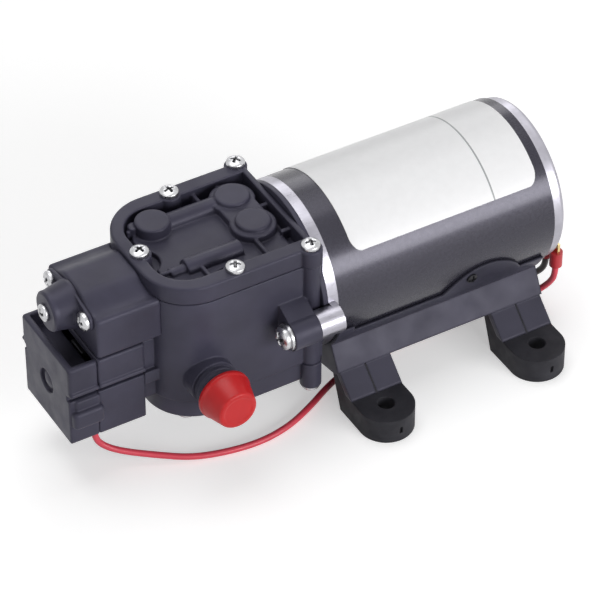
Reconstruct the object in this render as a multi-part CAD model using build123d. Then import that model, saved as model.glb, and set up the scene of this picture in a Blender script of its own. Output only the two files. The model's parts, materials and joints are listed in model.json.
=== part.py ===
from build123d import *
import math
import os

# Small diaphragm water pump for a caravan: a DC motor on a saddle with four rubber feet, a pump
# head with a diaphragm under a lid, two threaded ports with red caps, and a pressure switch.
# Lengths are millimetres and angles degrees. X runs along the shaft towards the motor's tail,
# Y runs from front to back and Z is up. The origin is on the ground, midway between the four
# foot holes. A name that ends in _x, _y or _z is a place, and other names are sizes.

# Gaps and overruns
seat_gap = 0.05          # round a screw shank, a bearing seat or a plug that stays put
running_gap = 0.04       # radial, between a journal or plunger and its bore
moving_gap = 0.4         # between a moving piece and a wall it passes
overrun = 1.0            # how far a cut runs past the face that it opens

# Motor
shaft_height = 38.3
can_radius = 25.0
can_wall = 1.6
can_length = 71.2
can_overhang = 0.7
bell_rim_length = 3.2
bell_spigot_length = 4.0
bell_spigot_wall = 1.8
bell_hub_wall = 2.4
bell_hub_length = 7.2
bearing_radius = 8.0
bearing_width = 5.0
bearing_ring_wall = 1.6
bearing_groove_depth = 0.6
shaft_radius = 2.5
shaft_nose_radius = 2.0
shaft_hole_slack = 1.0
ear_radius = 4.2
ear_stand = 2.0
ear_reach = 5.7
ear_overlap = 1.2
magnet_length = 38.0
magnet_thickness = 5.6
magnet_span = 140.0
air_gap = 0.8
core_length = 34.0
core_tooth_count = 12
core_slot_width = 2.2
core_slot_depth = 6.0
winding_length = 7.0
winding_inset = 1.5
winding_wall = 8.0
winding_neck = 1.5
winding_shoulder = 4.2
commutator_radius = 6.0
commutator_length = 9.0
commutator_groove = 0.5
brush_width = 4.6
brush_thickness = 3.0
brush_length = 7.5
brush_gap = 0.1
brush_spring_wire = 0.35
brush_spring_radius = 1.3
brush_spring_turns = 4
brush_box_wall = 1.0
holder_thickness = 2.0
holder_room = 1.6
tail_cap_length = 4.1
tail_cap_inset = 0.7
tail_cap_wall = 1.4
tail_hub_wall = 1.6
tail_hub_proud = 3.0
tail_spigot_length = 3.0
shaft_tail_proud = 0.6
terminal_width = 2.4
terminal_thickness = 0.8
terminal_reach = 2.7
terminal_slot_gap = 0.6
red_slot_share = 0.636
black_slot_share = 0.492
slot_drop_share = 0.532
red_tab_share = 0.704
black_tab_share = 0.504
tab_drop_share = 0.632

# Label on the can
label_front = 7.2
label_length = 60.8
label_angle = 55.0
label_thickness = 0.12
label_corner = 3.0

# Saddle under the motor
saddle_length = 68.2
saddle_skin = 0.9
saddle_skin_angle = 24.6
saddle_ridge_angle = 40.2
saddle_edge_out = 4.0
saddle_edge_drop = 7.7
saddle_lip = 1.6
saddle_nub_length = 5.0
saddle_nub_rise = 2.0
saddle_floor = 2.5
saddle_floor_inset = 8.8
leg_tab_width = 16.6
leg_step = 0.4
leg_tab_out = 6.9
leg_tab_thickness = 2.2
leg_groove_width = 0.5
leg_groove_depth = 0.5
leg_tongue_width = 6.0
leg_tongue_thickness = 2.4
leg_tongue_out = 2.7
leg_tongue_drop = 9.3
ear_tab_start = 34.3
ear_tab_width = 26.0
ear_tab_rise = 7.6
saddle_screw_along = 8.5
saddle_screw_angle = 14.6
saddle_screw_radius = 1.1
saddle_screw_head_radius = 1.6
saddle_screw_head = 0.9

# Feet
foot_end_inset = 8.9
foot_reach = 4.97
foot_hole_radius = 2.5
foot_radius = 8.2
foot_thickness = 7.7
foot_step = 0.2
foot_lean = 5.4
foot_mark_width = 1.0
foot_mark_depth = 0.8
foot_mark_height = 2.2

# Crank and connecting rod
crank_setback = 15.0
crank_throw = 1.5
journal_radius = 4.0
weight_radius = 6.5
weight_length = 4.6
weight_cut = 1.8
grub_radius = 1.5
grub_socket_radius = 0.75
grub_socket_depth = 1.5
grub_length = 4.0
rod_ring_wall = 1.6
rod_pad_radius = 6.0
rod_pad_rise = 0.3
rod_pad_thickness = 1.5
piston_plate_radius = 4.2
piston_plate_thickness = 1.2
piston_screw_radius = 1.25
piston_screw_head_radius = 2.6
piston_screw_head = 0.6
piston_screw_slot = 0.3
piston_screw_depth = 1.5
piston_top_gap = 0.3

# Pump body
flange_thickness = 1.5
body_length = 48.5
body_half_width = 21.5
body_drop = 17.8
body_corner = 14.5
ear_notch_gap = 0.3
lug_length = 8.3
lug_radius = 4.5
lug_gusset = 3.0
column_setback = 3.4
column_inset = 0.7
column_radius = 2.8
side_screw_setback = 22.8
side_screw_inset = 2.9
nose_screw_inset = 3.5
chamber_half_length = 11.0
chamber_wall = 4.3
chamber_roof = 2.7
plate_pocket_left = 6.0
plate_pocket_right = 1.7
plate_pocket_wall = 5.9
plate_pocket_corner = 5.8
plate_thickness = 4.5
gasket_thickness = 0.8
diaphragm_radius = 13.2
diaphragm_bead = 2.0
diaphragm_bead_wall = 2.0
diaphragm_sheet = 1.2
port_setback = 12.7
port_rise = 8.2
port_thread_radius = 6.58
port_root_radius = 5.85
port_bore_radius = 3.9
port_collar_radius = 6.9
port_collar_length = 2.6
port_sink = 5.0
port_length = 10.6
port_thread_pitch = 1.337
port_crest_share = 0.5
passage_radius = 2.4
outlet_passage_share = -0.545
inlet_passage_share = 0.731
sense_hole_radius = 1.1
spigot_radius = 6.0
spigot_length = 2.2
spigot_dish_radius = 4.9
spigot_dish_depth = 0.8
neck_inset = 1.6
neck_drop = 1.3
neck_rib_out = 1.4
neck_rib_rise = 11.4
neck_rib_height = 4.0

# Bottom cover
cover_height = 6.5
cover_inset = 0.9
cover_floor = 2.6
cover_lug_radius = 3.1
cover_lug_height = 8.5
cover_screw_setback = 8.5
cover_screw_inset = 6.5

# Lid
lid_height = 5.8
lid_floor = 2.4
lid_rim = 4.6
lid_rim_nose = 3.8
lid_rim_end = 0.9
lid_lug_radius = 3.3
lid_inner_corner = 9.5
lid_screw_boss = 3.5
cap_boss_radius = 5.0
cap_boss_rise = 1.2
eight_radius = 6.6
eight_waist = 5.6
eight_rise = 2.3
inlet_boss_ahead = 5.7
inlet_boss_share = 0.699
outlet_boss_ahead = 5.4
outlet_boss_share = -0.167
far_boss_ahead = 0.5
far_boss_share = 0.769
far_nib = 1.7
pipe_radius = 2.9
pipe_bore_radius = 1.5
pipe_nose_radius = 1.7
pipe_nose_length = 4.6
front_pipe_back = 2.1
back_pipe_share = 0.705
lid_cavity_radius = 3.3
lid_pocket_floor = 1.0
lid_pocket_length = 3.4
lid_pocket_reach = 13.2
lid_pocket_gap = 2.6
lid_web = 1.2

# Valves
valve_ahead = 4.5
inlet_valve_share = 0.697
outlet_valve_share = -0.312
valve_cap_radius = 2.1
valve_crown_radius = 1.05
valve_cap_thickness = 0.7
valve_edge_thickness = 0.2
valve_stem_radius = 0.8
valve_tip_radius = 0.5
valve_bulb_radius = 1.1
valve_bulb_length = 0.6
valve_feed_radius = 0.5
valve_feed_circle = 1.45
valve_feed_count = 4
dish_radius = 10.9
dish_depth = 3.0

# Screws
screw_radius = 1.5
screw_head_radius = 2.7
screw_head_height = 1.9
screw_recess_width = 0.6
screw_recess_length = 3.0
screw_recess_depth = 1.0
lid_screw_depth = 6.0
cover_screw_depth = 6.0
motor_screw_radius = 2.0
motor_screw_head_radius = 3.4
motor_screw_head = 2.4
washer_radius = 4.0
washer_thickness = 0.8
shoulder_share = 0.55
crown_share = 0.62

# Port caps
cap_rim_radius = 7.5
cap_face_radius = 5.7
cap_length = 8.4
cap_room = 5.4
cap_end_wall = 1.6
cap_rim_bead = 0.35
cap_rim_width = 1.2

# Pressure switch
switch_length = 17.5
switch_half_width = 14.4
switch_axis_drop = 2.5
switch_depth = 9.4
switch_side_rise = 1.2
switch_slope_half = 13.2
switch_slope_rise = 2.8
switch_crown_half = 5.5
switch_crown_rise = 7.0
plunger_radius = 4.3
plunger_length = 3.4
plunger_travel = 1.0
arm_width = 6.0
arm_thickness = 1.6
arm_overlap = 1.0
arm_inset = 1.6
spring_bore_radius = 4.5
spring_wire = 0.8
spring_radius = 3.2
spring_turns = 5
spring_seat_thickness = 1.2
boss_base_radius = 7.0
boss_tip_radius = 5.9
boss_length = 7.0
boss_taper_length = 5.2
boss_plate = 1.0
boss_end_wall = 3.0
boss_end_bevel = 0.5
boss_lobe_radius = 2.9
boss_mark_length = 3.0
boss_mark_height = 4.0
boss_mark_depth = 1.0
boss_mark_inset = 1.5
boss_screw_side = 9.95
boss_screw_rise = 1.3
boss_screw_depth = 8.0
adjust_screw_radius = 1.5
adjust_head_radius = 2.55
adjust_head = 1.6
diaphragm_disc = 1.2
block_gap = 1.3
block_height = 27.0
block_length = 14.5
block_cover_length = 8.9
block_half_width = 13.4
block_panel_half_width = 14.0
block_panel_rise = 18.3
block_groove_rise = 17.3
block_groove = 0.9
block_groove_height = 2.0
block_wall = 1.9
cover_pocket_depth = 5.3
cover_pocket_half_width = 10.5
cover_end_wall = 3.6
end_recess_radius = 3.7
end_recess_depth = 1.2
end_recess_rise = 13.3
end_recess_rib = 0.9
latch_inset = 1.9
latch_length = 9.5
latch_proud = 1.5
latch_rise = 7.3
latch_height = 7.9
ridge_rise = 13.4
ridge_height = 7.0
micro_width = 6.4
micro_depth = 8.6
micro_height = 19.5
micro_gap = 0.3
micro_button_radius = 1.2
micro_button_proud = 1.4
micro_button_drop = 3.2
micro_shelf_height = 9.8
micro_shelf_length = 8.0
blade_width = 2.4
blade_thickness = 0.6
blade_length = 3.2
blade_share = 0.28

# Leads
lead_radius = 0.95
lead_lift = 0.05
sleeve_radius = 1.9
sleeve_length = 5.0
stripped_radius = 0.6
stripped_length = 5.0
coil_centre_x = 8.0
coil_centre_y = 8.5
coil_outer_radius = 11.5
coil_pitch = 2.5
coil_turns_in_layer = 1.5
coil_layer_rise = 2.5
tie_width = 2.6
tie_thickness = 0.4
tie_lift = 0.15
tie_gap = 0.3
tie_head = 1.6
tie_angle = 0.0

# Places that follow from the sizes above, along the shaft
can_front_x = -(saddle_length / 2 + can_overhang)
can_tail_x = can_front_x + can_length
bell_front_x = can_front_x - bell_rim_length
flange_x = bell_front_x - flange_thickness
body_left_x = bell_front_x - body_length
ear_front_x = bell_front_x - ear_reach
ear_back_x = can_front_x - ear_overlap
lug_front_x = ear_front_x - lug_length
cap_end_x = can_tail_x + tail_cap_length
tail_end_x = cap_end_x + tail_hub_proud
front_bearing_x = bell_front_x + bell_hub_length - bearing_width
rear_bearing_x = tail_end_x - tail_cap_wall - bearing_width
crank_x = flange_x - crank_setback
bearing_left_x = crank_x - bearing_width / 2
bearing_right_x = crank_x + bearing_width / 2
holder_x = can_tail_x - tail_spigot_length - holder_room - holder_thickness
brush_x = holder_x - seat_gap - brush_box_wall - brush_width / 2
commutator_x = brush_x - commutator_length / 2
core_centre_x = commutator_x - moving_gap - winding_length - core_length / 2
column_x = bell_front_x - column_setback
side_screw_x = body_left_x + side_screw_setback
nose_screw_x = body_left_x + nose_screw_inset
cover_screw_x = body_left_x + cover_screw_setback
port_x = body_left_x + port_setback
plate_left_x = body_left_x + plate_pocket_left
plate_right_x = flange_x - plate_pocket_right
valve_x = crank_x + valve_ahead
inlet_boss_x = crank_x + inlet_boss_ahead
outlet_boss_x = crank_x + outlet_boss_ahead
far_boss_x = port_x + far_boss_ahead
front_pipe_end_x = crank_x - front_pipe_back
plunger_x = body_left_x - spigot_length - diaphragm_disc
arm_right_x = plunger_x - arm_inset
arm_left_x = arm_right_x - arm_thickness
micro_right_x = arm_left_x - micro_gap - micro_button_proud
switch_left_x = body_left_x - switch_length
boss_plate_x = switch_left_x - boss_plate
boss_x = boss_plate_x - boss_length
spring_seat_x = boss_x + boss_end_wall
block_right_x = switch_left_x + block_length
cover_left_x = switch_left_x - block_cover_length
latch_left_x = cover_left_x + latch_inset
sleeve_x = cap_end_x + terminal_reach - terminal_thickness / 2
foot_hole_x = saddle_length / 2 - foot_end_inset

# Sizes and places across and upwards
can_bore = can_radius - can_wall
skin_radius = can_radius + saddle_skin
tail_cap_radius = can_radius - tail_cap_inset
tail_hub_radius = bearing_radius + tail_hub_wall
core_radius = can_bore - magnet_thickness - air_gap
ear_offset = can_radius + ear_stand
label_half_width = can_radius * math.sin(math.radians(label_angle))
red_slot_y = -can_radius * red_slot_share
black_slot_y = -can_radius * black_slot_share
red_terminal_y = -can_radius * red_tab_share
black_terminal_y = -can_radius * black_tab_share
terminal_slot_z = shaft_height - can_radius * slot_drop_share
terminal_tab_z = shaft_height - can_radius * tab_drop_share
sleeve_top_z = terminal_tab_z - terminal_thickness
sleeve_bottom_z = sleeve_top_z - sleeve_length
saddle_skin_top_z = shaft_height - skin_radius * math.sin(math.radians(saddle_skin_angle))
saddle_ridge_y = skin_radius * math.cos(math.radians(saddle_ridge_angle))
saddle_ridge_z = shaft_height - skin_radius * math.sin(math.radians(saddle_ridge_angle))
saddle_edge_y = saddle_ridge_y + saddle_edge_out
saddle_edge_z = saddle_ridge_z - saddle_edge_drop
leg_top_y = saddle_edge_y - leg_step
saddle_floor_y = saddle_edge_y - saddle_floor_inset
saddle_floor_z = shaft_height - can_radius - saddle_floor
leg_tab_y = leg_top_y + leg_tab_out
leg_tongue_foot_y = saddle_edge_y + leg_tongue_out
leg_tongue_foot_z = saddle_edge_z - leg_tongue_drop
foot_inner_y = saddle_edge_y + foot_step
foot_hole_y = leg_tab_y + foot_reach
rod_ring_radius = bearing_radius + rod_ring_wall
crank_z = shaft_height + crank_throw
pad_top_z = crank_z + rod_ring_radius + rod_pad_rise
piston_bottom_z = pad_top_z + diaphragm_bead
piston_top_z = piston_bottom_z + piston_plate_thickness
plate_seat_z = piston_top_z + piston_top_gap - dish_depth
plate_top_z = plate_seat_z + plate_thickness
bead_seat_z = plate_seat_z - diaphragm_bead
chamber_top_z = bead_seat_z - chamber_roof
body_top_z = plate_top_z + gasket_thickness
body_bottom_z = shaft_height - body_drop
cover_bottom_z = body_bottom_z - cover_height
cover_lug_bottom_z = body_bottom_z - cover_lug_height
lid_top_z = body_top_z + lid_height
lid_floor_z = body_top_z + lid_floor
eight_top_z = lid_floor_z + eight_rise
column_y = body_half_width - column_inset
side_screw_y = body_half_width - side_screw_inset
cover_screw_y = body_half_width - cover_screw_inset
chamber_half_width = body_half_width - chamber_wall
plate_half_width = body_half_width - plate_pocket_wall
outlet_passage_y = plate_half_width * outlet_passage_share
inlet_passage_y = plate_half_width * inlet_passage_share
inlet_boss_y = plate_half_width * inlet_boss_share
outlet_boss_y = plate_half_width * outlet_boss_share
far_boss_y = plate_half_width * far_boss_share
back_pipe_y = plate_half_width * back_pipe_share
inlet_valve_y = dish_radius * inlet_valve_share
outlet_valve_y = dish_radius * outlet_valve_share
port_z = body_bottom_z + port_rise
port_end_y = body_half_width + port_length
cap_face_y = port_end_y + cap_room
switch_axis_z = body_top_z - switch_axis_drop
switch_bottom_z = switch_axis_z - switch_depth
boss_screw_z = switch_axis_z + boss_screw_rise
block_top_z = switch_bottom_z - block_gap
block_bottom_z = block_top_z - block_height
block_floor_z = block_bottom_z + block_wall
neck_top_z = block_top_z - neck_drop
neck_half_width = block_half_width - neck_inset
neck_rib_z = block_bottom_z + neck_rib_rise
cover_pocket_z = block_top_z - cover_pocket_depth
end_recess_z = block_bottom_z + end_recess_rise
latch_bottom_z = block_bottom_z + latch_rise
latch_top_z = latch_bottom_z + latch_height
ridge_bottom_z = block_bottom_z + ridge_rise
ridge_top_z = ridge_bottom_z + ridge_height
micro_button_z = block_floor_z + micro_height - micro_button_drop
arm_foot_z = micro_button_z - arm_overlap
coil_floor_z = lead_lift + tie_thickness + tie_lift + lead_radius
lid_screw_places = [
    (column_x, -column_y),
    (column_x, column_y),
    (side_screw_x, -side_screw_y),
    (side_screw_x, side_screw_y),
    (nose_screw_x, 0),
]
cover_screw_places = [
    (column_x, -column_y, cover_lug_bottom_z),
    (column_x, column_y, cover_lug_bottom_z),
    (cover_screw_x, -cover_screw_y, cover_bottom_z),
    (cover_screw_x, cover_screw_y, cover_bottom_z),
]

# Routes of the two leads, point by point: out of the switch block, along the ground in front of
# the pump head, under the motor and up to the tail; and from the tail down to the coil.
red_route = [
    (-104.4, -10.2, 16.2),
    (-104.4, -10.2, 12.2),
    (-102.6, -10.9, 8.4),
    (-97.6, -13.0, 5.4),
    (-88.5, -17.2, 3.0),
    (-80.0, -21.2, 1.3),
    (-70.5, -23.9, 1.0),
    (-60.0, -25.2, 1.0),
    (-50.0, -23.6, 1.0),
    (-40.5, -19.4, 1.0),
    (-31.5, -14.3, 1.0),
    (-20.0, -10.0, 1.0),
    (-6.0, -7.4, 1.0),
    (8.0, -6.9, 1.0),
    (20.0, -7.4, 1.0),
    (30.0, -8.8, 1.0),
    (37.0, -11.4, 2.4),
    (41.2, -14.2, 6.2),
    (42.6, -16.6, 10.2),
    (sleeve_x, red_terminal_y, 13.6),
    (sleeve_x, red_terminal_y, sleeve_bottom_z),
]
black_route = [
    (sleeve_x, black_terminal_y, sleeve_bottom_z),
    (sleeve_x, black_terminal_y, 13.6),
    (42.4, -10.8, 9.8),
    (40.4, -7.4, 6.0),
    (37.2, -2.8, 2.8),
    (33.2, 2.6, 1.3),
    (29.0, 8.2, 1.1),
    (24.0, 13.6, 1.2),
    (18.6, 17.6, 1.4),
    (12.6, coil_centre_y + coil_outer_radius, coil_floor_z),
    (coil_centre_x, coil_centre_y + coil_outer_radius, coil_floor_z),
]


def block(x0, x1, y0, y1, z0, z1):
    """Box between two opposite corners."""
    centre = Pos((x0 + x1) / 2, (y0 + y1) / 2, (z0 + z1) / 2)
    return centre * Box(abs(x1 - x0), abs(y1 - y0), abs(z1 - z0))


def rod_x(radius, x0, x1, y=0, z=shaft_height):
    """Cylinder along X, on the motor's axis unless told otherwise."""
    return Pos((x0 + x1) / 2, y, z) * Rot(0, 90, 0) * Cylinder(radius, abs(x1 - x0))


def rod_y(radius, y0, y1, x, z):
    """Cylinder along Y."""
    return Pos(x, (y0 + y1) / 2, z) * Rot(90, 0, 0) * Cylinder(radius, abs(y1 - y0))


def rod_z(radius, z0, z1, x, y):
    """Upright cylinder."""
    return Pos(x, y, (z0 + z1) / 2) * Cylinder(radius, abs(z1 - z0))


def prism_x(outline, x0, x1):
    """Outline of (y, z) points carried along X."""
    face = Face(Wire.make_polygon([(x0, y, z) for y, z in outline]))
    return extrude(face, amount=x1 - x0, dir=(1, 0, 0))


def prism_z(outline, z0, z1):
    """Outline of (x, y) points carried up Z."""
    face = Face(Wire.make_polygon([(x, y, z0) for x, y in outline]))
    return extrude(face, amount=z1 - z0, dir=(0, 0, 1))


def turned_x(profile, z=shaft_height):
    """Solid of revolution about the line along X at height z, from (x, radius) points."""
    face = Face(Wire.make_polygon([(x, 0, z + radius) for x, radius in profile]))
    return revolve(face, Axis((0, 0, z), (1, 0, 0)))


def turned_y(profile, x, z):
    """Solid of revolution about a line along Y, from (y, radius) points."""
    face = Face(Wire.make_polygon([(x + radius, y, z) for y, radius in profile]))
    return revolve(face, Axis((x, 0, z), (0, 1, 0)))


def turned_z(profile, x, y):
    """Solid of revolution about an upright line, from (radius, z) points."""
    face = Face(Wire.make_polygon([(x + radius, y, z) for radius, z in profile]))
    return revolve(face, Axis((x, y, 0), (0, 0, 1)))


def both_sides(part):
    """A front piece together with its mirror image at the back."""
    return part + mirror(part, about=Plane.XZ)


def group(parts):
    """Several separate solids in one node."""
    return Compound(children=[solid for part in parts for solid in part.solids()])


def biarc(start, start_dir, end, end_dir):
    """Two arcs that leave start along start_dir and reach end along end_dir, in one plane each."""
    chord = end - start
    both = start_dir + end_dir
    square = 2 * (start_dir.dot(end_dir) - 1)
    linear = -2 * chord.dot(both)
    reach = (-linear - math.sqrt(linear ** 2 - 4 * square * chord.dot(chord))) / (2 * square)
    if reach < 0:
        reach = (-linear + math.sqrt(linear ** 2 - 4 * square * chord.dot(chord))) / (2 * square)
    first_knee = start + start_dir * reach
    last_knee = end - end_dir * reach
    middle = (first_knee + last_knee) * 0.5
    across = (last_knee - first_knee).normalized()
    first = Edge.make_tangent_arc(start, start_dir, middle)
    second = Edge.make_tangent_arc(middle, across, end)
    return [first, second]


def wound_edges(place, steps):
    """Biarcs through a curve place(t) for t from 0 to steps, one to each unit of t."""
    nudge = 0.0001
    points = [Vector(*place(step)) for step in range(steps + 1)]
    slopes = []
    for step in range(steps + 1):
        before = Vector(*place(max(step - nudge, 0)))
        after = Vector(*place(min(step + nudge, steps)))
        slopes.append((after - before).normalized())
    edges = []
    for step in range(steps):
        edges += biarc(points[step], slopes[step], points[step + 1], slopes[step + 1])
    return edges, points, slopes


def tube(edges, radius):
    """Round tube along joined edges."""
    path = Wire(edges)
    start = path.position_at(0)
    section = Plane(origin=start, z_dir=path.tangent_at(0)) * Circle(radius)
    return sweep(section, path=path)


def least_gap(place, steps, skip, diameter, samples=48):
    """Least clear gap between turns of a wound wire, skipping what lies within one turn."""
    count = int(steps * samples / 4)
    points = [Vector(*place(steps * index / count)) for index in range(count + 1)]
    apart = int(skip * samples / 4)
    least = min(
        (points[i] - points[j]).length
        for i in range(count + 1)
        for j in range(i + apart, count + 1)
    )
    return least - diameter


def route_radii(points):
    """Largest tangent arc at each corner of a route: 0.45 of the shorter run on each side."""
    radii = []
    for before, corner, after in zip(points, points[1:], points[2:]):
        first = Vector(*corner) - Vector(*before)
        second = Vector(*after) - Vector(*corner)
        half_turn = math.radians(first.get_angle(second)) / 2
        radii.append(0.45 * min(first.length, second.length) / math.tan(half_turn))
    return radii


def cord_tube(name, points, radius):
    """Tube along a route of straight runs joined by tangent arcs."""
    radii = route_radii(points)
    path = FilletPolyline(*points, radius=radii)
    direction = Vector(*points[1]) - Vector(*points[0])
    section = Plane(origin=points[0], z_dir=direction) * Circle(radius)
    solid = sweep(section, path=path)
    print(name, "radii", [round(value, 1) for value in radii])
    expected = math.pi * radius ** 2 * path.length
    print(name, "length", round(path.length, 1), "volume share", round(solid.volume / expected, 4))
    return solid


def pan_screw(head_radius, head_height, shank_radius, shank_length):
    """Cross-recessed pan-head screw, head up, with its seat at the origin."""
    shoulder = head_height * shoulder_share
    crown = head_radius * crown_share
    profile = [
        (0, -shank_length),
        (shank_radius, -shank_length),
        (shank_radius, 0),
        (head_radius, 0),
        (head_radius, shoulder),
        (crown, head_height),
        (0, head_height),
    ]
    body = turned_z(profile, 0, 0)
    recess = Pos(0, 0, head_height) * Box(
        screw_recess_length, screw_recess_width, screw_recess_depth
    )
    return body - recess - Rot(0, 0, 90) * recess


def make_foot(side_x, side_y):
    """Rubber foot: a pad with a hole, and a leaning upright behind the saddle's leg."""
    hole_x = foot_hole_x
    hole_y = foot_hole_y
    tip_y = hole_y + foot_radius
    inner_top_y = foot_inner_y - foot_lean
    profile = [
        (foot_inner_y, 0),
        (tip_y, 0),
        (tip_y, foot_thickness),
        (leg_tab_y, foot_thickness),
        (leg_top_y, saddle_edge_z),
        (inner_top_y, saddle_edge_z),
    ]
    upright = prism_x(profile, hole_x - foot_radius, hole_x + foot_radius)
    plan = block(
        hole_x - foot_radius, hole_x + foot_radius, inner_top_y - overrun, hole_y, 0, saddle_edge_z
    )
    plan += rod_z(foot_radius, 0, saddle_edge_z, hole_x, hole_y)
    foot = upright & plan
    foot -= rod_z(foot_hole_radius, -overrun, foot_thickness + overrun, hole_x, hole_y)
    foot -= block(
        hole_x - foot_mark_width / 2,
        hole_x + foot_mark_width / 2,
        tip_y - foot_mark_depth,
        tip_y + overrun,
        (foot_thickness - foot_mark_height) / 2,
        (foot_thickness + foot_mark_height) / 2,
    )
    if side_x < 0:
        foot = mirror(foot, about=Plane.YZ)
    if side_y < 0:
        foot = mirror(foot, about=Plane.XZ)
    return foot - base_bracket


def make_leg(side_x):
    """Front leg of the saddle: the slanted tab that shows and the tongue inside the foot."""
    centre = side_x * foot_hole_x
    run_z = saddle_edge_z - foot_thickness
    slant = math.hypot(leg_tab_out, run_z)
    back_y = leg_tab_thickness * run_z / slant
    back_z = leg_tab_thickness * leg_tab_out / slant
    low_inner_y = leg_tab_y - leg_tab_thickness * slant / run_z
    tab = [
        (-leg_top_y, saddle_edge_z),
        (-leg_tab_y, foot_thickness),
        (-low_inner_y, foot_thickness),
        (-leg_top_y + back_y, saddle_edge_z - back_z),
        (-leg_top_y + back_y + saddle_lip, saddle_edge_z),
    ]
    leg = prism_x(tab, centre - leg_tab_width / 2, centre + leg_tab_width / 2)
    groove = [
        (-leg_top_y - overrun, saddle_edge_z),
        (-leg_tab_y - overrun, foot_thickness),
        (-leg_tab_y + leg_groove_depth, foot_thickness),
        (-leg_top_y + leg_groove_depth, saddle_edge_z),
    ]
    leg -= prism_x(groove, centre - leg_groove_width / 2, centre + leg_groove_width / 2)
    top_y = saddle_edge_y - leg_tongue_thickness
    tongue = [
        (-top_y, saddle_edge_z),
        (-leg_tongue_foot_y, leg_tongue_foot_z),
        (-leg_tongue_foot_y + leg_tongue_thickness, leg_tongue_foot_z),
        (-top_y + leg_tongue_thickness, saddle_edge_z),
    ]
    leg += prism_x(tongue, centre - leg_tongue_width / 2, centre + leg_tongue_width / 2)
    return leg


def saddle_screw_place(part):
    """Stand a screw radially on the front of the saddle's ear tab."""
    along = can_front_x + can_overhang + ear_tab_start + saddle_screw_along
    tilted = Pos(along, 0, shaft_height) * Rot(90 + saddle_screw_angle, 0, 0)
    return tilted * Pos(0, 0, skin_radius) * part


def make_base_bracket():
    """Moulded saddle: a skin that hugs the can, slanted side plates, a floor and four legs."""
    left = -saddle_length / 2
    right = saddle_length / 2
    outline = [
        (-saddle_ridge_y, saddle_ridge_z),
        (-saddle_edge_y, saddle_edge_z),
        (-saddle_edge_y + saddle_lip, saddle_edge_z - saddle_lip),
        (-saddle_floor_y, saddle_floor_z),
        (saddle_floor_y, saddle_floor_z),
        (saddle_edge_y - saddle_lip, saddle_edge_z - saddle_lip),
        (saddle_edge_y, saddle_edge_z),
        (saddle_ridge_y, saddle_ridge_z),
    ]
    saddle = prism_x(outline, left, right)
    skin = rod_x(can_radius + saddle_skin, left, right)
    skin &= block(left, right, -can_radius * 2, can_radius * 2, saddle_floor_z, saddle_skin_top_z)
    tab_left = left + ear_tab_start
    start = Vector(tab_left, 0, saddle_skin_top_z)
    top = Vector(tab_left + ear_tab_width / 2, 0, saddle_skin_top_z + ear_tab_rise)
    end = Vector(tab_left + ear_tab_width, 0, saddle_skin_top_z)
    dome = Face(Wire([Edge.make_three_point_arc(start, top, end), Edge.make_line(end, start)]))
    ear = extrude(dome, amount=can_radius + saddle_skin, dir=(0, 1, 0), both=True)
    ear &= rod_x(can_radius + saddle_skin, left, right)
    nub = rod_x(can_radius + saddle_skin, left, left + saddle_nub_length)
    nub_top_z = saddle_skin_top_z + saddle_nub_rise
    nub &= block(left, right, -can_radius * 2, can_radius * 2, saddle_floor_z, nub_top_z)
    saddle = saddle + skin + ear + nub
    saddle += both_sides(make_leg(-1) + make_leg(1))
    saddle -= rod_x(can_radius + seat_gap, left - overrun, right + overrun)
    hole = Cylinder(saddle_screw_radius + seat_gap, can_wall * 4)
    return saddle - both_sides(saddle_screw_place(hole))


def make_saddle_screws():
    """One short screw through each ear tab into the can."""
    screw = pan_screw(
        saddle_screw_head_radius, saddle_screw_head, saddle_screw_radius, saddle_skin + can_wall
    )
    placed = saddle_screw_place(screw)
    return group([placed, mirror(placed, about=Plane.XZ)])


def make_motor_can():
    """Steel tube of the motor, with a hole for each saddle screw."""
    can = rod_x(can_radius, can_front_x, can_tail_x)
    can -= rod_x(can_bore, can_front_x - overrun, can_tail_x + overrun)
    hole = Cylinder(saddle_screw_radius + seat_gap, can_wall * 6)
    return can - both_sides(saddle_screw_place(hole))


def make_motor_label():
    """Bare label wrapped over the top of the can, with rounded corners."""
    left = can_front_x + label_front
    inner = can_radius + seat_gap
    wrap = rod_x(inner + label_thickness, left, left + label_length)
    wrap -= rod_x(inner, left - overrun, left + label_length + overrun)
    centre = left + label_length / 2
    plan = Pos(centre, 0, shaft_height) * RectangleRounded(
        label_length, label_half_width * 2, label_corner
    )
    return wrap & extrude(plan, amount=can_radius * 2, dir=(0, 0, 1))


def make_front_bell():
    """Cast end bell between can and pump, with a bearing hub and two threaded ears."""
    bell = rod_x(can_radius, bell_front_x, can_front_x)
    spigot_end = can_front_x + bell_spigot_length
    bell += rod_x(can_bore - seat_gap, bell_front_x, spigot_end)
    bell -= rod_x(can_bore - bell_spigot_wall, can_front_x, spigot_end + overrun)
    hub_end = bell_front_x + bell_hub_length
    bell += rod_x(bearing_radius + bell_hub_wall, bell_front_x, hub_end)
    bell -= rod_x(bearing_radius + seat_gap, front_bearing_x, hub_end + overrun)
    bell -= rod_x(shaft_radius + shaft_hole_slack, bell_front_x - overrun, hub_end)
    ear = rod_x(ear_radius, ear_front_x, ear_back_x, -ear_offset)
    ear += block(
        bell_front_x,
        ear_back_x,
        -ear_offset,
        -can_radius + ear_radius,
        shaft_height - ear_radius,
        shaft_height + ear_radius,
    )
    thread = motor_screw_radius + seat_gap
    ear -= rod_x(thread, ear_front_x - overrun, ear_back_x + overrun, -ear_offset)
    return bell + both_sides(ear)


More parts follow.
